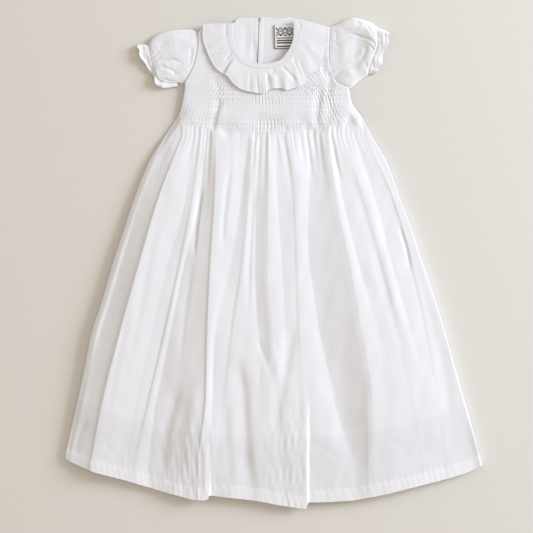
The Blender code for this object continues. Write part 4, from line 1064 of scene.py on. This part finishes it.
SLEEVE_CREASES = {
    "left": [
        (1.0, 2.2, 1.8, [(158, 65.3), (165, 61.4), (172, 60.3), (178, 61.8), (185, 66)]),
        (-0.5, 3.0, 3.0, [(162, 67), (170, 65.5), (178, 67)]),
        (1.2, 2.0, 2.0, [(160.5, 67.6), (167, 69.2), (173, 71.5), (176.5, 77)]),
        (0.7, 1.5, 1.5, [(175, 35.9), (185, 35.9), (194, 35.2)]),
        (0.4, 1.5, 1.5, [(182, 32.6), (189, 32.4), (194, 33)]),
        (0.4, 1.6, 1.6, [(181, 39), (189, 38.6), (194, 37.8)]),
        (0.7, 2.6, 2.6, [(191.5, 47), (191.2, 57), (190, 67)]),
        (0.5, 2.4, 2.4, [(185, 72), (186.5, 76)]),
        (0.5, 2.2, 2.2, [(190, 76), (189, 80)]),
        (1.1, 1.6, 1.6, [(158, 80.4), (163, 79.8), (170, 81.5), (176, 81.6)]),
        (0.8, 1.4, 1.4, [(164, 86), (171, 86.4), (178, 84.6)]),
        (0.5, 2.6, 2.0, [(166, 42), (161.5, 46.5), (158, 51)]),
        (0.7, 1.5, 1.5, [(160, 52), (155.5, 55.4), (151, 59)]),
        (0.5, 1.4, 1.4, [(157, 48), (153.5, 51), (150.8, 54)]),
        (0.5, 1.3, 1.3, [(151, 40.6), (155, 38.2), (160, 36.2)]),
        (0.6, 1.5, 1.5, [(162, 57.5), (157, 60), (152.5, 63)]),
        (0.7, 2.2, 1.8, [(147, 57), (148, 61), (149, 65)]),
        (0.5, 1.6, 1.6, [(142, 47), (143.5, 51), (144.5, 55)]),
        (0.6, 1.4, 1.4, [(168, 80), (169, 84), (170, 87)]),
        (-0.3, 2.4, 2.4, [(158, 83), (163, 83.5), (167, 84.5)]),
        (0.6, 2.6, 2.2, [(139, 45), (141.5, 54), (146, 62), (153, 73), (161, 82.5), (171, 85)]),
    ],
    "right": [
        (1.3, 1.8, 1.5, [(345, 36.6), (352, 34.8), (358, 36.8), (364, 38.6), (370, 41), (374, 45.5), (375.5, 50)]),
        (1.1, 3.4, 3.0, [(355, 21.5), (358, 24), (361, 27.5)]),
        (0.9, 2.2, 3.0, [(366, 46), (364.5, 52), (362.5, 58), (360, 62)]),
        (1.1, 2.2, 1.8, [(333, 77), (339, 73), (346, 69.5), (352, 66.5), (358, 64)]),
        (0.8, 1.4, 1.4, [(351, 72.5), (355, 71), (359, 69.5)]),
        (-0.5, 3.4, 3.0, [(346, 76), (352, 74.6), (359, 75)]),
        (0.9, 1.5, 1.5, [(369, 46.5), (371.5, 49), (373, 53)]),
        (0.7, 2.2, 2.2, [(364, 62), (366, 67), (367.5, 73)]),
        (0.6, 2.2, 2.2, [(333, 30), (336, 36), (336, 43)]),
        (0.5, 2.2, 2.2, [(334, 43), (338, 47), (341, 48.5)]),
        (-0.5, 1.5, 1.5, [(343, 24.2), (348, 22.8), (352.5, 22.4)]),
        (0.9, 1.3, 1.3, [(384, 33), (384.4, 40), (384, 48)]),
        (0.7, 2.8, 2.8, [(378, 35), (380, 43), (380, 51)]),
        (0.6, 1.3, 1.3, [(374, 57), (376.5, 56.2), (380, 56)]),
        (0.6, 1.2, 1.2, [(372, 60), (373, 66), (373.5, 71)]),
        (0.5, 1.1, 1.1, [(376, 59), (376.4, 64), (376.2, 69)]),
        (0.5, 1.6, 1.6, [(340, 28), (345, 31.5), (352, 31)]),
        (0.5, 1.4, 1.4, [(366, 26), (370, 32), (374, 38)]),
        (0.8, 3.2, 3.0, [(346, 26), (354, 23.5), (364, 24), (373, 29.5)]),
        (0.7, 3.4, 3.4, [(361, 52), (360, 60), (356, 66), (346, 69)]),
    ],
}


def net(rows, along, across):
    """A smooth surface through a small net of places, at even steps both ways."""
    grid = np.array([at(points) for _, points in rows])  # sections, 8, 3
    grid[:, 0, 2] = grid[:, 1, 2] * 0.92
    grid[:, -1, 2] = grid[:, -2, 2] * 0.92
    sections, count, _ = grid.shape
    mid = np.empty((sections, len(across), 3))
    for j in range(sections):
        for c in range(3):
            mid[j, :, c] = through(across * (count - 1), np.arange(count), grid[j, :, c])
    full = np.empty((len(along), len(across), 3))
    for i in range(len(across)):
        for c in range(3):
            full[:, i, c] = through(along * (sections - 1), np.arange(sections), mid[:, i, c])
    return full


def build_sleeve(side):
    rows = SLEEVES[side]
    steps, half = 118, 92
    last = len(rows) - 1
    # the first two short stretches are the seam allowance tucked under the bodice's edge
    place = np.concatenate([np.linspace(0, 2, 10, endpoint=False), np.linspace(2, last, steps - 10)])
    theta = np.linspace(0, math.pi, half)
    across = (1 - np.cos(theta)) / 2
    across = 0.5 * across + 0.5 * np.linspace(0, 1, half)
    surface = net(rows, place / last, across)
    x, y, z = surface[..., 0].copy(), surface[..., 1].copy(), surface[..., 2].copy()
    elastic = (column(rows, 0).index("elastic") - 2) / (last - 2)
    a, t = np.meshgrid((place - 2) / (last - 2), across, indexing="ij")
    worn = ease(a / 0.04)
    # gathers at the elastic, fanning out both ways
    knobs = 6.0 if side == "left" else 4.6
    wave = np.cos(2 * math.pi * (knobs * t + 0.5 * np.sin(5.0 * t + 1.0)) + 0.7 * np.sin(9 * a))
    fine = np.cos(2 * math.pi * (17.0 * t + 0.4 * np.sin(7.0 * t)) + 2.0)
    before = np.where(a < elastic, bell((a - elastic) / 0.17), 0.0)
    after = np.where(a >= elastic, 1.0, 0.0)
    z += (0.16 * wave + 0.10 * fine) * before
    z += (0.30 * wave + 0.06 * fine) * after * (0.75 + 0.6 * (a - elastic) / (1 - elastic))
    z -= 0.8 * bell((a - elastic) / 0.020)
    # the frill's edge sways in plan as well
    sway = after * ease((a - elastic) / (1 - elastic))
    out = -1.0 if side == "left" else 1.0
    x += out * 0.9 * wave * sway
    # gathers at the armhole
    head = bell(a / 0.13)
    z += 0.07 * np.cos(2 * math.pi * 15 * t + 1.2 * np.sin(4 * t)) * head * worn
    flat = z.copy()
    for deep, left, right, path in SLEEVE_CREASES[side]:
        crease(flat, x, y, at(path), 0.75 * deep, left, right)
    z = z + (flat - z) * worn
    z += 0.22 * rumple(x, y, 24.0, 31 if side == "left" else 32) * worn * (1 - sway)
    z += 0.06 * rumple(x, y, 8.0, 33 if side == "left" else 34) * worn
    rim = 2.0
    cap = np.sqrt(np.clip(1 - np.abs(2 * t - 1) ** 6, 0, 1))
    top = rim + np.maximum(z - rim, 0.8) * cap
    top = np.where(a < 0, np.minimum(top, z), top)
    # the underside lies flat
    low = rim - (rim - 0.7) * cap**0.4
    back = slice(-2, 0, -1)
    ring_x = np.concatenate([x, x[:, back]], 1)
    ring_y = np.concatenate([y, y[:, back]], 1)
    ring_z = np.concatenate([top, low[:, back]], 1)
    if side == "right":  # turn it so that the outside faces out
        ring_x, ring_y, ring_z = ring_x[::-1], ring_y[::-1], ring_z[::-1]
    cloth_x = np.concatenate([t, 2 - t[:, back]], 1) * 160.0
    cloth_y = np.concatenate([a, a[:, back]], 1) * 95.0
    if side == "right":
        cloth_x, cloth_y = cloth_x[::-1], cloth_y[::-1]
    return cloth_piece("puff_sleeve_" + side, ring_x, ring_y, ring_z, SHADED_PUFF_CLOTH, cloth=(cloth_x, cloth_y), around=True)


# ---------------------------------------------------------------------- neck and collar
# narrow pleats in the collar: line along it, depth, width, where it starts from the neck
COLLAR_PLEATS = [
    (0.6, 0.9, 0.22, 0.0), (1.7, -0.5, 0.3, 0.3), (2.6, 0.8, 0.16, 0.2), (3.6, 0.7, 0.18, 0.1), (4.7, 0.6, 0.2, 0.3),
    (5.6, -0.6, 0.25, 0.2), (7.6, 0.5, 0.2, 0.3), (8.5, -0.5, 0.2, 0.3), (9.2, 0.7, 0.14, 0.2), (9.9, 1.3, 0.17, 0.1),
    (10.5, -0.6, 0.2, 0.3), (11.0, 1.2, 0.16, 0.1), (11.6, 0.7, 0.12, 0.3), (13.9, -0.5, 0.3, 0.2), (14.5, 1.0, 0.35, 0.0),
    (15.3, -0.6, 0.25, 0.2), (16.4, 0.6, 0.2, 0.4), (17.3, 0.9, 0.2, 0.3), (18.3, 1.4, 0.2, 0.0), (19.0, 0.8, 0.16, 0.2),
    (20.1, 0.8, 0.2, 0.0), (21.3, 0.6, 0.22, 0.2), (22.4, 0.7, 0.25, 0.1), (23.6, 0.5, 0.2, 0.3), (24.4, 0.5, 0.2, 0.0),
]


def build_collar():
    lines, deep = 400, 30
    s = np.linspace(0, len(COLLAR) - 1, lines)
    s = s + 0.0
    t = np.linspace(0, 1, deep)
    inner = neck_path(BINDING_WIDE - 0.8, lines)
    outer_x = through(s, np.arange(len(COLLAR)), column(COLLAR, 0))
    outer_y = through(s, np.arange(len(COLLAR)), column(COLLAR, 1))
    # lift, with two sharp fold edges
    up = np.array(column(COLLAR, 2), float)
    lift = np.where(
        s < 6.5,
        through(np.minimum(s, 6.5), list(range(7)) + [6.5], list(up[:7]) + [0.0]),
        np.where(
            s < 12.55,
            through(np.clip(s, 6.5, 12.55), [6.5, 7, 8, 9, 10, 11, 12, 12.55], [3.4] + list(up[7:13]) + [2.4]),
            through(np.maximum(s, 12.55), [12.55] + list(range(13, 26)), [0.1] + list(up[13:])),
        ),
    )
    tt, ss = np.meshgrid(t, s, indexing="ij")
    x = inner[0][None, :] * (1 - tt) + outer_x[None, :] * tt
    y = inner[1][None, :] * (1 - tt) + outer_y[None, :] * tt
    swell = 0.5 + 0.5 * np.sin(math.pi * np.clip(tt * 0.9 + 0.08, 0, 1))
    z = COLLAR_LOW + 0.25 + 0.45 * (1 - tt) + swell * (1 - tt) + 0.5 * lift[None, :] * (0.12 + 0.88 * ease(tt * 1.25))
    for line, depth, wide, start in COLLAR_PLEATS:
        d = (ss - line) / (wide * (0.55 + 0.9 * tt))
        strength = 0.21 if line < 17 else 0.12
        z -= strength * depth * (bell(d) - 0.5 * bell((d - 2.2) / 1.6)) * ease((tt - start) / 0.35)
    # fine gathers where it is sewn to the binding
    z += 0.035 * np.cos(2 * math.pi * 1.9 * ss + 1.5 * np.sin(1.7 * ss)) * bell(tt / 0.18)
    # the deep triangle beside the fold edge
    z -= 1.2 * bell((ss - 12.95) / (0.10 + 0.33 * tt)) * ease((tt - 0.15) / 0.3) * (ss > 12.55)
    crease(z, x, y, at([(206, 41), (214, 40), (224, 39.5)]), 0.35, 1.4, 1.4)
    crease(z, x, y, at([(207, 50.5), (216, 50), (225, 50)]), 0.4, 1.5, 1.5)
    crease(z, x, y, at([(281, 66), (289, 74), (298, 84)]), 0.7, 2.4, 2.0)
    crease(z, x, y, at([(273, 68), (273, 77)]), 0.6, 3.2, 3.0)
    crease(z, x, y, at([(295, 57), (294, 67)]), 0.5, 3.0, 3.0)
    crease(z, x, y, at([(299, 22), (299, 32)]), 0.5, 1.5, 1.5)
    crease(z, x, y, at([(225.6, 24), (225.8, 41)]), 0.5, 0.9, 0.9, ends=(0.05, 0.3))
    crease(z, x, y, at([(232, 53), (228, 58), (224.5, 63)]), 0.6, 1.4, 1.2)
    # a narrow rolled hem
    z += (0.22 * bell((tt - 0.975) / 0.022) - 0.16 * bell((tt - 0.925) / 0.016)) * (1.0 - 0.85 * ease((ss - 17.0) / 2.5))
    z += 0.10 * rumple(x, y, 14.0, 41) * ease(tt / 0.2)
    z = np.maximum(z, COLLAR_LOW + 0.3)
    return cloth_piece("gathered_collar", x, y, z, PLAIN_CLOTH, cloth=(ss * 24.0, tt * 32.0)), (x, y, z)


def build_binding():
    low, high = BINDING
    steps = 520
    section = [(7.6, low + 2.6), (7.95, high - 1.5), (7.5, high - 0.8), (6.6, high - 0.52), (5.6, high - 0.5), (4.4, high - 0.42), (3.2, high - 0.42), (1.8, high - 0.44), (0.6, high - 0.46), (0.16, high - 0.47), (0.06, high - 0.5), (0.0, high - 0.6), (0.0, high - 1.8), (0.2, high - 2.1), (1.3, high - 2.2), (4.0, low + 0.8), (7.0, low + 0.8)]
    ring = np.array([neck_path(out, steps) for out, _ in section])  # section, xy, steps
    x, y = ring[:, 0, :], ring[:, 1, :]
    z = np.repeat(np.array([h for _, h in section])[:, None], steps, 1)
    s = np.linspace(0, 1, steps)
    # small holes left by two rows of stitching, plainest on the right
    plain = 0.25 + 0.75 * ease((x + 10.0) / 30.0)
    hole = np.clip(np.cos(2 * math.pi * 118 * s), -0.3, 1.0)[None, :]
    rows = np.array([1.0 if out in (1.8, 5.6) else 0.0 for out, _ in section])[:, None] * (z > 7.5)
    z = z - 0.34 * (0.3 + hole) * rows * plain
    points = np.stack([x, y, z], -1).transpose(1, 0, 2).reshape(-1, 3)  # steps, section
    n = len(section)
    i = np.arange(steps - 1)[:, None] * n + np.arange(n)[None, :]
    j = np.arange(steps - 1)[:, None] * n + (np.arange(n)[None, :] + 1) % n
    quads = np.stack([i, i + n, j + n, j], -1).reshape(-1, 4).tolist()
    quads.append(list(range(n)))
    quads.append(list(reversed(range((steps - 1) * n, steps * n))))
    cloth = np.stack([np.repeat(s * 330.0, n), np.tile(np.arange(n) * 1.6, steps), np.zeros(steps * n)], -1)
    made = mesh_piece("neck_band", points, quads, PLAIN_CLOTH, {"cloth": cloth})
    # two rows of small stitches
    starts, ends = [], []
    for out, h in ((1.5, high - 0.44), (5.6, high - 0.4)):
        px, py = neck_path(out, 260)
        for k in range(2, 256, 2):
            starts.append((px[k], py[k], h))
            ends.append((px[k + 1], py[k + 1], h))
    threads = capsules("neck_stitches", starts, ends, 0.26, THREAD)
    return made, threads


# ----------------------------------------------------------------------- hidden sides
def back_edge(y, side):
    if side == "left":
        shoulder = [(330.0, -44.5), (327.5, -50.5), (323.5, -52.8), (321.8, -62.0), (319.0, -92.0), (311.0, -101.5)]
        turn, sign = 311.0, 1
    else:
        shoulder = [(331.2, 23.0), (328.0, 38.0), (324.0, 55.0), (320.0, 68.0), (317.0, 75.0)]
        turn, sign = 317.0, -1
    if y >= turn:
        return float(np.interp(y, column(shoulder, 0)[::-1], column(shoulder, 1)[::-1])) + sign * SEAM_GAP
    low = ARMHOLES[side][1][1]
    if y >= low:
        return float(armhole_x(y, side)) + sign * 3 * SEAM_GAP
    return float(side_x(y, side)) + sign * 1.5


def build_back_bodice(side):
    start = 330.0 if side == "left" else 331.2
    levels = np.concatenate([np.linspace(start, 300, 24, endpoint=False), np.linspace(300, 179, 60)])
    cols = 60
    x, y = [], []
    for level in levels:
        # the two edges lie almost together: a thin line that opens a little lower down
        slit = np.interp(level, [262.0, 295.0, 326.0], [-22.2, -20.4, -19.4])
        half = np.interp(level, [240.0, 262.0, 280.0, 300.0, 326.0], [0.4, 0.75, 0.75, 0.35, 0.5])
        edge = back_edge(level, side)
        corner = float(ease((level - 322.0) / 9.0))
        inner = slit - half - 1.6 * corner if side == "left" else slit + half + 2.4 * corner
        ends = (edge, inner) if side == "left" else (inner, edge)
        x.append(np.linspace(ends[0], ends[1], cols))
        y.append(np.full(cols, level))
    x, y = np.array(x), np.array(y)
    if side == "right":  # the neck edge dips a little behind the label
        y = y - 2.6 * bell((x - 7.0) / 10.0) * ease((y - 300.0) / 30.0)
    z = 1.0 + 1.3 * ease((y - 232.0) / 40.0)
    from_slit = np.abs(x - np.interp(y, [262.0, 295.0, 326.0], [-22.2, -20.4, -19.4]))
    z = z - 0.25 + 0.25 * rumple(x, y, 30.0, 51 if side == "left" else 52, 2.0) * ease(from_slit / 10.0)
    # a turned edge along the slit and the neck, with its row of stitching
    z = z - 0.2 * bell((from_slit - 7.0) / 0.7) + 0.15 * (1 - ease((from_slit - 6.0) / 1.0))
    from_top = start - y
    z = z - 0.2 * bell((from_top - 6.0) / 0.7) + 0.12 * (1 - ease((from_top - 5.0) / 1.0))
    if side == "left":
        crease(z, x, y, at([(245, 20), (246, 40), (244, 60)]), 0.4, 5.0, 5.0)
        crease(z, x, y, at([(253, 40), (255, 52), (255, 63)]), 0.5, 4.0, 3.0)
        z -= 0.5 * bell((x + 25.0) / 4.0) * ease((300 - y) / 30.0)
    z = np.clip(z, 0.6, 2.6)
    return cloth_piece("back_bodice_" + side + "_cloth", x, y, z, PLAIN_CLOTH, thin=0.5)


def build_back_skirt():
    rows, cols = 90, 120
    shares, u = np.linspace(0, 1, rows), np.linspace(0, 1, cols)
    x, y = [], []
    for share in shares:
        row_y = np.full(cols, 178.6)
        for _ in range(8):
            left, right = side_x(row_y, "left") + 1.2, side_x(row_y, "right") - 1.2
            row_x = left * (1 - u) + right * u
            row_y = 178.6 * (1 - share) + (hem_y(row_x) + 2.5) * share
        x.append(row_x)
        y.append(row_y)
    x, y = np.array(x), np.array(y)
    # flat where it lies, with shallow creases that run down from the gathers
    uu = np.broadcast_to(u[None, :], x.shape)
    pleat = sum(a * bell(((uu - c) * 14.0)) for c, a in ((0.12, 0.3), (0.29, 0.2), (0.41, 0.3), (0.58, 0.25), (0.73, 0.3), (0.9, 0.2)))
    z = 0.98 - pleat - 0.12 * np.abs(rumple(x, y, 40.0, 61, 3.0))
    up = y - hem_y(x)
    z = z - 0.12 * bell((up - 16.0) / 1.0)
    z = np.clip(z, 0.55, 1.0)
    return cloth_piece("back_skirt_cloth", x, y, z, PLAIN_CLOTH, cloth=(uu * 700.0, y))


def build_underskirt():
    rows, cols = 70, 100
    shares, u = np.linspace(0, 1, rows), np.linspace(0, 1, cols)
    x, y = [], []
    for share in shares:
        row_y = np.full(cols, 166.0)
        for _ in range(8):
            left, right = side_x(row_y, "left") + LINING_INSET, side_x(row_y, "right") - LINING_INSET
            row_x = left * (1 - u) + right * u
            row_y = 166.0 * (1 - share) + lining_hem_y(row_x) * share
        x.append(row_x)
        y.append(row_y)
    x, y = np.array(x), np.array(y)
    cap = np.sqrt(np.clip(1 - np.abs(2 * u - 1) ** 40, 0, 1))[None, :]
    upper = 2.45 + (LINING_TOP - 2.45 - 0.15 + 0.1 * rumple(x, y, 30.0, 71, 3.0)) * cap
    lower = 2.45 - (2.45 - LINING_LOW - 0.1) * cap
    back = slice(-2, 0, -1)
    ring = [np.concatenate([p, q[:, back]], 1) for p, q in ((x, x), (y, y), (np.minimum(upper, 3.7), lower * np.ones_like(x)))]
    uu = np.broadcast_to(u[None, :], x.shape)
    cloth = (np.concatenate([uu, 2 - uu[:, back]], 1) * 560.0, ring[1])
    return cloth_piece("underskirt_cloth", ring[0], ring[1], ring[2], LINING_CLOTH, cloth=cloth, around=True, thin=0.4)


def build_back_collar(side):
    if side == "left":
        inner = [(-63.0, 318.5), (-54.0, 323.0), (-44.0, 327.0), (-33.0, 328.5), (-22.5, 329.0)]
        outer = [(-92.5, 316.5), (-86.0, 303.0), (-68.0, 294.0), (-46.0, 290.5), (-22.5, 290.0)]
    else:
        inner = [(-17.5, 330.0), (-4.0, 330.0), (11.0, 329.5), (23.0, 326.5), (33.0, 322.5)]
        outer = [(-17.5, 291.0), (8.0, 290.5), (33.0, 293.0), (54.0, 300.0), (68.0, 312.0)]
    k, s = np.arange(5), np.linspace(0, 4, 90)
    ix, iy = through(s, k, column(inner, 0)), through(s, k, column(inner, 1))
    ox, oy = through(s, k, column(outer, 0)), through(s, k, column(outer, 1))
    t = np.linspace(0, 1, 24)[:, None]
    x, y = ix * (1 - t) + ox * t, iy * (1 - t) + oy * t
    z = 0.72 + 0.2 * np.cos(2 * math.pi * 2.2 * s + 1.3 * np.sin(s))[None, :] * (0.4 + 0.6 * t)
    return cloth_piece("back_collar_" + side, x, y, np.clip(z, 0.5, 0.98), PLAIN_CLOTH, cloth=(s[None, :] * 18 + 0 * t, t * 35 + 0 * s[None, :]))


def build_label():
    wide, tall = LABEL["wide"], LABEL["tall"]
    turn = math.radians(LABEL["turn"])
    u, v = np.meshgrid(np.linspace(0, wide, 30), np.linspace(0, -tall, 34))
    x = LABEL["x"] + u * math.cos(turn) - v * math.sin(turn)
    y = LABEL["y"] + 8.0 + u * math.sin(turn) + v * math.cos(turn)
    z = LABEL["low"] + LABEL["thick"] + 0.12 * np.sin(u / 4.0) * np.sin(v / 6.0)
    return cloth_piece("woven_label", x, y, z, LABEL_CLOTH, cloth=(u, v + tall), thin=0.5)


# ------------------------------------------------------------------------------- build
skirt, smock, skirt_surface, smock_surface = build_front()
stitches = build_stitches(smock_surface)
sleeves = {side: build_sleeve(side) for side in ("left", "right")}
collar, collar_surface = build_collar()
band, band_stitches = build_binding()
back = {side: build_back_bodice(side) for side in ("left", "right")}
back_skirt = build_back_skirt()
underskirt = build_underskirt()
back_collar = {side: build_back_collar(side) for side in ("left", "right")}
label = build_label()

# hem stitches
hem_x = np.linspace(-262, 262, 240)
hem_surface = sampler(skirt_surface[0][-24:], skirt_surface[1][-24:], skirt_surface[2][-24:])
starts, ends = [], []
for k in range(0, len(hem_x) - 1):
    x0, x1 = hem_x[k], hem_x[k] + 1.5
    y0, y1 = float(hem_y(x0)) + 15.6, float(hem_y(x1)) + 15.6
    if abs(y1 - y0) > 1.5:
        continue
    starts.append((x0, y0, hem_surface(x0, y0) - 0.02))
    ends.append((x1, y1, hem_surface(x1, y1) - 0.02))
hem_stitches = capsules("hem_stitches", starts, ends, 0.14, THREAD)

for made in (skirt, smock, stitches, sleeves["left"], sleeves["right"], collar, band, band_stitches, back["left"], back["right"], back_skirt, underskirt, back_collar["left"], back_collar["right"], label, hem_stitches):
    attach(made, "root")
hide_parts("front_panel")
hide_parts("front_panel")
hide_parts("collar")
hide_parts("neck_binding")
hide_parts("back_skirt")
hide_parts("underskirt")
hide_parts("label")
for side in ("left", "right"):
    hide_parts("sleeve_" + side)
    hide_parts("back_bodice_" + side)
    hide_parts("collar_back_" + side)

# ------------------------------------------------------------------------------- stage
def pale_floor():
    made, tree = nodes_of("pale_floor")
    geometry = node(tree, "ShaderNodeNewGeometry")
    grain = node(tree, "ShaderNodeTexNoise", inputs={"Vector": geometry.outputs["Position"], "Scale": 60.0, "Detail": 3.0})
    tone = mix_colour(tree, grain.outputs[0], (0.692, 0.655, 0.610, 1), (0.708, 0.671, 0.626, 1))
    shader = node(tree, "ShaderNodeBsdfPrincipled", inputs={"Base Color": tone, "Roughness": 0.9, "Specular IOR Level": 0.2})
    out = node(tree, "ShaderNodeOutputMaterial")
    tree.links.new(shader.outputs[0], out.inputs["Surface"])
    return made


floor_mesh = bpy.data.meshes.new("floor")
floor_mesh.from_pydata([(-30, -30, 0), (30, -30, 0), (30, 30, 0), (-30, 30, 0)], [], [(0, 1, 2, 3)])
floor_mesh.materials.append(pale_floor())
floor = bpy.data.objects.new("floor", floor_mesh)
bpy.context.collection.objects.link(floor)

scene = bpy.context.scene
scene.view_settings.view_transform = "Standard"
scene.view_settings.look = "None"

world = bpy.data.worlds.new("soft_room")
scene.world = world
world.use_nodes = True
background = world.node_tree.nodes["Background"]
background.inputs["Color"].default_value = (1.0, 0.92, 0.81, 1.0)
background.inputs["Strength"].default_value = 0.69


def lamp(name, place, target, size, power, colour):
    data = bpy.data.lights.new(name, "AREA")
    data.shape, data.size, data.size_y = "RECTANGLE", size[0], size[1]
    data.energy, data.color = power, colour
    made = bpy.data.objects.new(name, data)
    bpy.context.collection.objects.link(made)
    place, target = np.array(place, float), np.array(target, float)
    made.location = place
    from mathutils import Vector

    made.rotation_euler = Vector(target - place).to_track_quat("-Z", "Y").to_euler()
    return made


# a tall window, low on the right and a little towards the neck
lamp("window", (3.3, 1.25, 1.2), (0.0, 0.0, 0.0), (1.7, 1.3), 200.0, (0.74, 0.85, 1.0))

camera_data = bpy.data.cameras.new("camera")
camera_data.sensor_width = 36.0
camera_data.lens = 36.0 * 1.8 / 0.7196
camera_data.clip_end = 100.0
camera = bpy.data.objects.new("camera", camera_data)
camera.location = (-0.00945, -0.0054, 1.8)
bpy.context.collection.objects.link(camera)
scene.camera = camera
